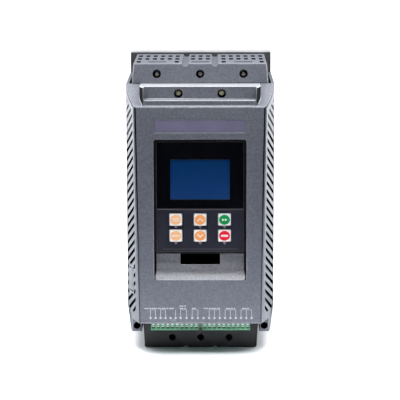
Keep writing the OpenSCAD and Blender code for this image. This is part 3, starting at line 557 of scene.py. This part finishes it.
def cut_faces(bm, faces, cut_at, across, reach):
    """Cuts faces along a plane; corners within reach of the plane stay where they are."""
    edges = dict.fromkeys(e for f in faces for e in f.edges)
    verts = dict.fromkeys(v for f in faces for v in f.verts)
    bmesh.ops.bisect_plane(bm, geom=[*faces, *edges, *verts], dist=reach * MM, plane_co=cut_at,
                           plane_no=across)


def split_boss_top(bm):
    """Cuts the top of the boss along its panel, so that its open front stays open."""
    lid_z = cover_high.z - 0.5 * MM
    lid = [f for f in bm.faces if f.normal.z > 0.9 and f.calc_center_median().z > lid_z]
    cut_faces(bm, lid, (0, FRONT + BOSS_PANEL * MM, 0), (0, 1, 0), 0.05)


def sort_cover_faces(bm):
    """Gives the faces their finishes: painted shade on the inside, the openings, the shadow grooves, the
    screw wells, the bay walls and the boss sides, and painted highlight on the ramp and the boss top.
    """
    flank = largest_flank_face(bm)
    out, on_flank = flank.normal.copy(), flank.calc_center_median()
    bay_half = keypad_high.x + 1.2 * MM
    recess_foot = keypad_low.z - RECESS_REACH * MM
    screw_low, screw_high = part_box("cover_screws")
    screw_z = (screw_low.z + screw_high.z) / 2
    small_area = 60 * MM * MM
    for face in bm.faces:
        mid, aim = right_half(face)
        sunk = (on_flank - mid).dot(out) / MM
        deep = (mid.y - FRONT) / MM
        facing = aim.dot(out)
        above_foot = mid.z > cover_low.z + 5 * MM
        on_shoulder = aim.z > 0.7 and aim.y < 0
        slot_wall = in_flank_wall(sunk) and abs(facing) < 0.6 and above_foot and not on_shoulder
        groove_floor = 0.1 < sunk < 2 and facing > 0.9 and deep < GROOVE_DEPTH and above_foot
        lip = abs(sunk) < 0.1 and facing > 0.95 and deep < 1.7
        in_bay = mid.x < bay_half and deep > 0.6 and recess_foot < mid.z < keypad_high.z + 1 * MM
        bay_wall = in_bay and (aim.x < -0.6 or deep > RECESS_DEPTH or mid.z > keypad_low.z)
        on_ramp = in_bay and mid.z < keypad_low.z and aim.y < -0.3 and deep < RECESS_DEPTH
        off_screw = math.hypot(mid.x - COVER_SCREW_X * MM, mid.z - screw_z)
        by_screw = off_screw < COVER_SCREW_ROOM * MM and 5.2 < deep < 30
        screw_well = by_screw and (abs(aim.y) < 0.5 or face.calc_area() < small_area)
        boss_top = aim.z > 0.9 and mid.z > cover_high.z - 1 * MM and deep < 40
        boss_side = aim.x > 0.6 and mid.x < BOSS_HALF * MM and mid.z > BOSS_FOOT * MM and deep > 4
        # painted shade in grooves, wells, openings, inside and bay walls and on the boss sides; painted
        # highlight on the boss top and ramp
        if groove_floor or lip or (slot_wall and deep < GROOVE_DEPTH):
            face.material_index = COVER_GROOVE_SHADE
        elif screw_well:
            face.material_index = COVER_INSIDE_SHADE
        elif boss_top:
            face.material_index = COVER_BOSS_HIGHLIGHT
        elif slot_wall or aim.y > 0.3 or facing < -0.9:
            face.material_index = COVER_INSIDE_SHADE
        elif on_ramp:
            face.material_index = COVER_PAINTED_LIT
        elif boss_side:
            face.material_index = COVER_SHADE
        elif bay_wall:
            face.material_index = COVER_INSIDE_SHADE


def hold_bay_corners(bm):
    """Keeps the rounding at the lower corners of the bay from running down the face."""
    inner, outer, below, bay_foot, edge_depth = 40 * MM, 50 * MM, 50 * MM, 84.3 * MM, 1.6 * MM
    for vert in bm.verts:
        at_corner = inner < abs(vert.co.x) < outer and vert.co.y < FRONT + edge_depth
        if at_corner and below < vert.co.z < bay_foot:
            vert.co.z = bay_foot


def shape_front_cover(bm):
    """Sinks the face for its print, rounds its outline, openings and boss, and swings out the flanks."""
    face_y = FRONT + PRINT_ROOM * MM
    for vert in bm.verts:
        if vert.co.y < FRONT + TINY * MM:
            vert.co.y = face_y
    split_boss_top(bm)
    sort_cover_faces(bm)
    top_z = max(v.co.z for v in bm.verts if v.co.y < face_y + TINY * MM)
    foot_z = cover_low.z + 5 * MM
    plate_low, plate_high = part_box("name_plate")
    pocket_half, pocket_foot = 48 * MM, keypad_low.z - 14 * MM

    def on_face(edge):
        """A sharp edge in the plane of the face."""
        return all(abs(v.co.y - face_y) < TINY * MM for v in edge.verts) and sharp(edge, 20)

    def on_outline(vert):
        """At the outer outline of the face."""
        return abs(vert.co.x) > FACE_HALF * MM or vert.co.z > top_z - 1 * MM or vert.co.z < foot_z

    def on_bay(vert):
        """At the keypad bay and the finger recess below it."""
        return vert.co.z < keypad_high.z + 2 * MM and not on_outline(vert)

    def on_plate(vert):
        """At the pocket of the name plate."""
        in_height = plate_low.z - 1 * MM < vert.co.z < plate_high.z + 1 * MM
        return in_height and abs(vert.co.x) < FACE_HALF * MM

    def at_pocket(vert):
        """At the rear edge of the finger recess."""
        in_depth = 8 * MM < vert.co.y - FRONT < RECESS_DEPTH * MM
        in_height = pocket_foot < vert.co.z < keypad_low.z + 1 * MM
        return in_depth and in_height and abs(vert.co.x) < pocket_half

    def on_boss(vert):
        """At the screw boss of the shoulder."""
        in_width = abs(vert.co.x) < 66 * MM
        return in_width and vert.co.z > top_z + 0.4 * MM and vert.co.y > face_y + 3 * MM

    soften(bm, [e for e in bm.edges if on_face(e) and all(map(on_outline, e.verts))], 1.3, 4)
    # painted shade: the lip and the rounded outline beside the flanks take the dark groove finish
    for face in bm.faces:
        mid, aim = face.calc_center_median(), face.normal
        rolled = face_y + 0.02 * MM < mid.y < face_y + 1.4 * MM and abs(mid.x) > FACE_HALF * MM
        if rolled and abs(aim.x) > 0.15 and mid.z < top_z - 3 * MM:
            face.material_index = COVER_GROOVE_SHADE
    soften(bm, [e for e in bm.edges if on_face(e) and all(map(on_bay, e.verts))], 0.9, 3)
    hold_bay_corners(bm)
    soften(bm, [e for e in bm.edges if on_face(e) and all(map(on_plate, e.verts))], 0.45, 2)
    soften(bm, [e for e in bm.edges if sharp(e) and all(map(at_pocket, e.verts))], 0.5, 3)
    boss_edges = [e for e in bm.edges
                  if sharp(e) and e.calc_length() > 2 * MM and all(map(on_boss, e.verts))]
    # painted highlight: the rounded boss edges take the lighter boss finish
    for face in soften(bm, boss_edges, 0.5, 3):
        face.material_index = COVER_BOSS_HIGHLIGHT
    flare_flanks(bm)
    for vert in bm.verts:
        if vert.co.z < cover_low.z + 6 * MM:
            vert.co.z -= FOOT_DROP * MM


skin("front_cover", "grey_plastic", [GREY, INSIDE_SHADE, GROOVE, PAINTED_LIT_GREY, SHADE, BOSS_HIGHLIGHT], width=0.22,
     shape=shape_front_cover, adjust=widen_louvres)


# Other mouldings and sheet metal

SECOND_FINISH = 1
VENT_FRONT, VENT_REAR, VENT_SIDE = 6, 3, 71
EAR_X, EAR_Z = 68.3, 26
KEY_SHRINK = 0.955


def open_input_cover(bm):
    """Makes the vents and the screwdriver holes of the input cover larger; no edges are left alone."""
    low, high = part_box("input_cover")
    vent_gain, top_wall = 0.7, 3 * MM
    hole_growth, hole_z, hole_pitch, hole_room = 1.16, 296.5 * MM, 45.8 * MM, 4.2 * MM
    walls = []
    for face in bm.faces:
        mid = face.calc_center_median()
        in_top = mid.z > high.z - top_wall and abs(mid.x) < VENT_SIDE * MM
        among_vents = low.y + VENT_FRONT * MM < mid.y < high.y - VENT_REAR * MM
        if in_top and among_vents and abs(face.normal.y) > 0.9:
            walls.append(face)
    move_walls(walls, vent_gain)
    for vert in bm.verts:
        middle = round(vert.co.x / hole_pitch) * hole_pitch
        off = Vector((vert.co.x - middle, 0, vert.co.z - hole_z))
        if vert.co.y < low.y + VENT_FRONT * MM and off.length < hole_room:
            vert.co += off * (hole_growth - 1)
    return set()


def sort_input_cover(bm):
    """Vent walls, screwdriver holes and the inside get painted shade; outer walls and channels stay grey.
    """
    low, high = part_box("input_cover")
    hole_side, hole_top = 68 * MM, high.z - 5 * MM
    for face in bm.faces:
        mid, aim = face.calc_center_median(), face.normal
        past_front = (mid.y - low.y) / MM
        past_rear = (high.y - mid.y) / MM
        among_vents = past_front > VENT_FRONT and past_rear > VENT_REAR and abs(mid.x) < VENT_SIDE * MM
        by_hole = 0.1 < past_front < VENT_FRONT and mid.z < hole_top and abs(mid.x) < hole_side
        in_vent = among_vents and abs(aim.z) < 0.3
        in_hole = by_hole and abs(aim.y) < 0.5
        front_inside = past_front < VENT_FRONT and aim.y > 0.5
        if in_vent or in_hole or front_inside or aim.z < -0.3:
            face.material_index = SECOND_FINISH


def shape_input_cover(bm):
    """Sorts out the faces with painted shade, then rounds the two upright front edges."""
    sort_input_cover(bm)
    low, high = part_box("input_cover")

    def at_front_corner(vert):
        """At an upright front edge of the cover."""
        return vert.co.y < low.y + 0.1 * MM and abs(vert.co.x) > high.x - 3 * MM

    upright = [e for e in bm.edges
               if sharp(e) and e.calc_length() > 8 * MM and all(map(at_front_corner, e.verts))]
    soften(bm, upright, 1.3, 4)


def sort_tunnels(bm):
    """The screw tunnels and the inside of the rear housing get painted shade."""
    low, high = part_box("rear_housing")
    tunnel_room, side_wall, front_wall, floor_top = 4 * MM, 6 * MM, 14 * MM, 22 * MM
    for face in bm.faces:
        mid, aim = face.calc_center_median(), face.normal
        by_ear = abs(abs(mid.x) - EAR_X * MM) < tunnel_room and abs(mid.z - EAR_Z * MM) < tunnel_room
        tunnel = by_ear and abs(aim.y) < 0.3
        outer = abs(mid.x) > high.x - side_wall and aim.x * mid.x > 0
        within = mid.y > low.y + front_wall and floor_top < mid.z < high.z - 1 * MM
        if tunnel or (within and not outer):
            face.material_index = SECOND_FINISH


def draw_in_foot(bm):
    """Narrows the front rim of the housing beside its ears."""
    foot_half, foot_top, rim = 75 * MM, 45 * MM, FRONT + 60 * MM
    for vert in bm.verts:
        if vert.co.z < foot_top and vert.co.y < rim and abs(vert.co.x) > foot_half:
            vert.co.x = math.copysign(foot_half, vert.co.x)


def paint_shade_beside_input_cover(bm):
    """Painted shade in a strip on top of the housing, close beside the input cover."""
    inner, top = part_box("input_cover")[1].x + 3.0 * MM, cover_high.z

    def on_top(face):
        """On the top of the housing."""
        return face.normal.z > 0.9 and abs(face.calc_center_median().z - top) < 1 * MM

    for side in (-1, 1):
        cut_faces(bm, [f for f in bm.faces if on_top(f)], (side * inner, 0, 0), (1, 0, 0), 0.01)
    for face in bm.faces:
        if on_top(face) and abs(face.calc_center_median().x) < inner:
            face.material_index = SECOND_FINISH


def shape_rear_housing(bm):
    """Narrows the foot, paints shade into the tunnels, the inside and the strip on top beside the input
    cover, and rounds the ears.
    """
    draw_in_foot(bm)
    sort_tunnels(bm)
    paint_shade_beside_input_cover(bm)
    front_y, tunnel_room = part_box("rear_housing")[0].y + 0.1 * MM, 4.2 * MM
    outline = [e for e in bm.edges if sharp(e) and all(v.co.y < front_y for v in e.verts)
               and any(abs(abs(v.co.x) - EAR_X * MM) > tunnel_room for v in e.verts)]
    soften(bm, outline, 0.9, 3)


def resize(bm, node, across, deep, up):
    """Scales a skin about the middle of its solid."""
    low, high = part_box(node)
    middle = Matrix.Translation((low + high) / 2)
    bm.transform(middle @ Matrix.Diagonal((across, deep, up, 1)) @ middle.inverted())


def seat_port(bm):
    """Leaves an open joint round the service port cover and swings it out with its flank."""
    resize(bm, "port_cover", 1, 0.90, 0.95)
    flare_flanks(bm)


def close_tray_top(bm):
    """Closes the openings in the tray's top flange, which the photo doesn't show, and lightens its top."""
    low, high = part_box("mounting_tray")
    flange, rim, half = 3 * MM, 3 * MM, 68 * MM

    def in_opening(face):
        """A wall of an opening in the top flange."""
        mid = face.calc_center_median()
        among = abs(mid.x) < half and low.y + rim < mid.y < high.y - rim
        return among and mid.z > high.z - flange and abs(face.normal.z) < 0.3

    bmesh.ops.delete(bm, geom=[f for f in bm.faces if in_opening(f)], context="FACES")
    bmesh.ops.edgeloop_fill(bm, edges=[e for e in bm.edges if e.is_boundary])
    bmesh.ops.recalc_face_normals(bm, faces=bm.faces)
    # painted highlight: the top of the flange takes the lighter copy of the tray paint
    for face in bm.faces:
        if face.normal.z > 0.9 and face.calc_center_median().z > high.z - 0.5 * MM:
            face.material_index = SECOND_FINISH


def small_screw_heads(bm):
    """Lets only a small bright head show low in each screwdriver hole of the input cover."""
    low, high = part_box("input_screws")
    mid_z, shown, drop = (low.z + high.z) / 2, 0.36, 1.3 * MM
    pitch = (high.x - low.x) / 2 - (high.z - low.z) / 2
    for vert in bm.verts:
        middle = round(vert.co.x / pitch) * pitch
        vert.co.x = middle + (vert.co.x - middle) * shown
        vert.co.z = mid_z - drop + (vert.co.z - mid_z) * shown


def lower_terminal_screws(bm):
    """Keeps the terminal screws at the lowered foot of the front cover."""
    bm.transform(Matrix.Translation((0, 0, -FOOT_DROP * MM)))


def seat_plate(bm):
    """Sinks the name plate a little below the face and leaves a fine gap round it."""
    resize(bm, "name_plate", 0.99, 1, 0.93)
    bm.transform(Matrix.Translation((0, 0.3 * MM, 0)))


def dome_heads(bm):
    """Rounds the rims of the two screw heads into low domes."""
    low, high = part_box("cover_screws")
    head, mid_z = (high.z - low.z) / 2, (high.z + low.z) / 2
    mid_x = high.x - head

    def on_rim(vert):
        """At the front rim of a screw head."""
        off_middle = math.hypot(abs(vert.co.x) - mid_x, vert.co.z - mid_z)
        return vert.co.y < low.y + 0.05 * MM and off_middle > 0.85 * head

    soften(bm, [e for e in bm.edges if sharp(e) and all(map(on_rim, e.verts))], 0.9, 4)


skin("rear_housing", "grey_plastic", [GREY, INSIDE_SHADE], width=0.4, shape=shape_rear_housing)
skin("input_cover", "grey_plastic", [GREY, INSIDE_SHADE], width=0.35, shape=shape_input_cover,
     adjust=open_input_cover)
skin("output_cover", "black_plastic", width=0.5)
skin("port_cover", "grey_plastic", width=0.3, shape=seat_port)
skin("name_plate", "plate_film", width=0.12, shape=seat_plate)
skin("mounting_tray", "dark_steel", [TRAY, TRAY_TOP_HIGHLIGHT], width=0.25, shape=close_tray_top)
skin("cover_screws", "yellow_zinc", width=0.1, shape=dome_heads)
# painted highlight: the small heads take the near-white glint finish
skin("input_screws", "zinc_steel", [GLINT_HEAD], width=0.3, shape=small_screw_heads)
skin("output_screws", "zinc_steel", width=0.3)
skin("terminal_left", "green_plastic", width=0.15)
skin("terminal_right", "green_plastic", width=0.15)
skin("terminal_screws", "zinc_steel", width=0.12, shape=lower_terminal_screws)
skin("keypad_case", "black_plastic", [CASE], width=0.4)
skin("keypad_window", "window_black", width=0.2)
skin("key_panel", "panel_navy", width=0.2)
for key in ("key_menu", "key_up", "key_run", "key_enter", "key_down", "key_stop"):
    skin(key, "key_white", width=0.3, shape=lambda bm: resize(bm, key, KEY_SHRINK, 1, KEY_SHRINK))


# Printed marks

def at(x, y, z):
    """Place in millimetres across and up, with y in metres."""
    return Matrix.Translation((x * MM, y, z * MM))


def bar(bm, w, h, x, y, z, turn=0.0):
    """A thin printed rectangle whose back lies on the surface at y."""
    spot = at(x, y - PRINT / 2 * MM, z) @ Matrix.Rotation(turn, 4, "Y")
    size = Matrix.Diagonal((w * MM, PRINT * MM, h * MM, 1))
    bmesh.ops.create_cube(bm, size=1.0, matrix=spot @ size)


def disc(bm, w, h, x, y, z, sides=40, turn=0.0):
    """A thin printed oval or, with few sides, a regular shape."""
    spot = at(x, y - PRINT / 2 * MM, z) @ Matrix.Diagonal((w * MM, PRINT * MM, h * MM, 1))
    upright = Matrix.Rotation(turn, 4, "Y") @ Matrix.Rotation(math.pi / 2, 4, "X")
    bmesh.ops.create_cone(bm, cap_ends=True, segments=sides, radius1=0.5, radius2=0.5, depth=1.0,
                          matrix=spot @ upright)


def triangle(bm, w, h, x, y, z, turn):
    """A thin printed triangle that points the given way, in degrees from straight up."""
    disc(bm, w, h, x, y, z, 3, math.radians(turn))


def printed(name, material, body, draw):
    """One piece for everything that is printed in one colour on one body."""
    bm = bmesh.new()
    draw(bm)
    piece(name, bm, [material], body)


def caption(bm, left, right, y, z):
    """A line of short dashes that stands for a blank caption."""
    widths, height_up, gap, shortest = (4.2, 2.4, 5.2, 3.2), 1.1, 0.7, 1.5
    x, i = left, 0
    while x < right - shortest:
        w = min(widths[i % len(widths)], right - x)
        bar(bm, w, height_up, x + w / 2, y, z)
        x += w + gap
        i += 1


def legend_marks(bm):
    """A row of dots over the terminals with their leads, brackets and blank captions."""
    face = FRONT + PRINT_ROOM * MM
    dot, lead, line = 2.5, 0.55, 0.4
    dot_z, lead_foot, lead_top, link_drop = 43.9, 45.2, 52.8, 2.2
    first_line, second_line = 54.2, 56.8
    groups = ((-52.4, 5.27, 7), (-14.5, 5.95, 4), (9.3, 5.58, 9))
    dots = [start + pitch * i for start, pitch, count in groups for i in range(count)]
    without_lead = (4, 10)
    for i, x in enumerate(dots):
        disc(bm, dot, dot, x, face, dot_z, 20)
        if i not in without_lead:
            bar(bm, lead, lead_top - lead_foot, x, face, (lead_foot + lead_top) / 2)
    for first, last in ((0, 1), (2, 3), (6, 7), (8, 9), (11, 13), (14, 16), (17, 19)):
        bar(bm, dots[last] - dots[first] + 0.5, line, (dots[first] + dots[last]) / 2, face, lead_top)
    bar(bm, dots[5] - dots[4], line, (dots[4] + dots[5]) / 2, face, dot_z - link_drop)
    captions = ((-58.7, -27.2), (-21.9, -14.9), (-8.9, -3.6), (3.7, 22.2), (26.9, 36.8), (43.7, 53.2))
    for left, right in captions:
        caption(bm, left, right, face, first_line)
    left, right = captions[1]
    caption(bm, left, right, face, second_line)


printed("legend_print", PALE_INK, "enclosure", legend_marks)


def key_middle(key):
    """Middle of a key's front: across and up in millimetres, and y in metres."""
    low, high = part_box("key_" + key)
    return (low.x + high.x) / 2 / MM, low.y, (low.z + high.z) / 2 / MM


def draw_menu(bm, x, y, z):
    """Two lines."""
    for rise in (1.1, -1.1):
        bar(bm, 6.6, 0.8, x, y, z + rise)


def draw_arrow(bm, x, y, z, way):
    """An open arrow head that points up, or down where way is -1."""
    for side in (-1, 1):
        bar(bm, 4.4, 1.0, x + side * 1.35, y, z, way * side * math.radians(45))


def draw_up(bm, x, y, z):
    """An arrow head that points up."""
    draw_arrow(bm, x, y, z, 1)


def draw_down(bm, x, y, z):
    """An arrow head that points down."""
    draw_arrow(bm, x, y, z, -1)


def draw_run(bm, x, y, z):
    """Two triangles that point right."""
    for shift in (-1.6, 1.2):
        triangle(bm, 3.2, 3.2, x + shift, y, z, 90)


def draw_enter(bm, x, y, z):
    """An arrow to the left."""
    bar(bm, 6.8, 0.9, x + 0.4, y, z)
    triangle(bm, 2.6, 2.6, x - 3.2, y, z, -90)


def draw_stop(bm, x, y, z):
    """One thick bar."""
    bar(bm, 7.2, 2.1, x, y, z)


key_prints = {"menu": (PEACH_INK, draw_menu), "up": (ORANGE_INK, draw_up),
              "run": (GREEN_INK, draw_run), "enter": (PEACH_INK, draw_enter),
              "down": (ORANGE_INK, draw_down), "stop": (RED_INK, draw_stop)}
DISC_W, DISC_H = 11.4, 10.6
for key, (colour, draw) in key_prints.items():
    x, y, z = key_middle(key)
    body = nodes["key_" + key]["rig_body"]
    printed(key + "_disc", colour, body, lambda bm: disc(bm, DISC_W, DISC_H, x, y, z))
    printed(key + "_symbol", WHITE_INK, body, lambda bm: draw(bm, x, y - PRINT * MM, z))


def panel_marks(bm):
    """Thin lines near the upper and lower edges of the key panel."""
    low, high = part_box("key_panel")
    across = (high.x - low.x) / MM
    bar(bm, across - 1.0, 0.7, 0, low.y, high.z / MM - 0.6)
    bar(bm, across - 12.0, 0.35, 0, low.y, low.z / MM + 2.4)


def key_pointers(bm):
    """A small triangle that points down under each key."""
    panel_y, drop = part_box("key_panel")[0].y, 7.5
    for key in key_prints:
        x, _, z = key_middle(key)
        triangle(bm, 5.4, 4.4, x, panel_y, z - drop, 180)


printed("panel_print", GREY_INK, "keypad", panel_marks)
printed("pointer_print", POINTER_INK, "keypad", key_pointers)


# Studio

def studio_sweep():
    """Pale floor that ends just in front of the picture and runs up into a low backdrop at the rear."""
    half, near, far, bend, rise = 2.6, -0.27, 0.95, 0.3, 0.08
    bm = bmesh.new()
    bmesh.ops.create_grid(bm, x_segments=1, y_segments=1, size=1.0,
                          matrix=Matrix.Diagonal((half, 1.0, 1.0, 1.0)))
    for vert in bm.verts:
        vert.co.y = near if vert.co.y < 0 else far
    back = [e for e in bm.edges if all(v.co.y > 0 for v in e.verts)]
    bmesh.ops.spin(bm, geom=back, cent=(0, far, bend), axis=(1, 0, 0), angle=math.radians(90), steps=16)
    top = [e for e in bm.edges if all(v.co.z > bend - 0.01 for v in e.verts)]
    grown = bmesh.ops.extrude_edge_only(bm, edges=top)["geom"]
    risen = [v for v in grown if isinstance(v, bmesh.types.BMVert)]
    bmesh.ops.translate(bm, vec=(0, 0, rise), verts=risen)
    bmesh.ops.recalc_face_normals(bm, faces=bm.faces)
    for face in bm.faces:
        face.smooth = True
    mesh = bpy.data.meshes.new("studio_sweep")
    bm.to_mesh(mesh)
    bm.free()
    mat, tree, shader = finish("studio_white", rough=0.9)
    tone = ramp(tree, noise(tree, 0.01), (0.3, (0.84, 0.86, 0.90)), (0.7, (0.86, 0.88, 0.92)))
    tree.links.new(tone, shader.inputs["Base Color"])
    mesh.materials.append(mat)
    obj = bpy.data.objects.new("studio_sweep", mesh)
    bpy.context.scene.collection.objects.link(obj)


def softbox(name, place_at, towards, size, power, beam=180):
    """A rectangular soft light; size in metres, power in watts and beam angle in degrees."""
    data = bpy.data.lights.new(name, "AREA")
    data.shape = "RECTANGLE"
    data.size, data.size_y = size
    data.energy = power
    data.spread = math.radians(beam)
    obj = bpy.data.objects.new(name, data)
    obj.location = place_at
    obj.rotation_euler = (Vector(towards) - Vector(place_at)).to_track_quat("-Z", "Y").to_euler()
    obj.visible_camera = False
    bpy.context.scene.collection.objects.link(obj)


def camera():
    """Long lens in front of the object, ten degrees above it, a touch to the right and out of level."""
    data = bpy.data.cameras.new("front_camera")
    data.sensor_width = 36
    data.lens = 162
    data.dof.use_dof = False
    pitch, roll = math.radians(10), math.radians(-0.125)
    away, aim_x, aside, aim_z = 1.872, -0.0001, 0.012, 0.17
    yaw = math.atan2(aside, away * math.cos(pitch))
    obj = bpy.data.objects.new("front_camera", data)
    tilt = math.radians(90) - pitch
    turn = Matrix.Rotation(yaw, 4, "Z") @ Matrix.Rotation(tilt, 4, "X") @ Matrix.Rotation(roll, 4, "Z")
    turn.translation = (aim_x + aside, FRONT - away * math.cos(pitch), aim_z + away * math.sin(pitch))
    obj.matrix_world = turn
    bpy.context.scene.collection.objects.link(obj)
    bpy.context.scene.camera = obj


def studio_light():
    """Large overhead box, two strips close above the front, a wash on the floor, and boxes at the sides."""
    softbox("overhead_box", (0, 0.12, 1.35), (0, 0.05, 0), (1.6, 1.4), 43)
    softbox("high_strip", (0, -0.14, 0.41), (0, -0.12, 0.1), (0.6, 0.05), 0.86)
    softbox("low_strip", (0, -0.23, 0.37), (0, -0.09, 0.27), (0.6, 0.05), 0.23)
    softbox("floor_wash", (0, -0.60, 0.75), (0, -0.24, 0.0), (0.9, 0.2), 1.8, 26)
    for side, name in ((-1, "left"), (1, "right")):
        softbox(name + "_box", (side * 1.1, 0.1, 0.5), (0, 0.0, 0.15), (0.9, 0.9), 4)
        softbox(name + "_rear_box", (side * 0.9, 0.75, 0.45), (0, 0.0, 0.15), (0.7, 0.9), 14)
    world = bpy.data.worlds.new("studio_air")
    world.use_nodes = True
    air = world.node_tree.nodes["Background"]
    air.inputs["Color"].default_value = (0.78, 0.86, 1.0, 1)
    air.inputs["Strength"].default_value = 0.02
    bpy.context.scene.world = world
    bpy.context.scene.view_settings.view_transform = "Standard"


studio_sweep()
studio_light()
camera()
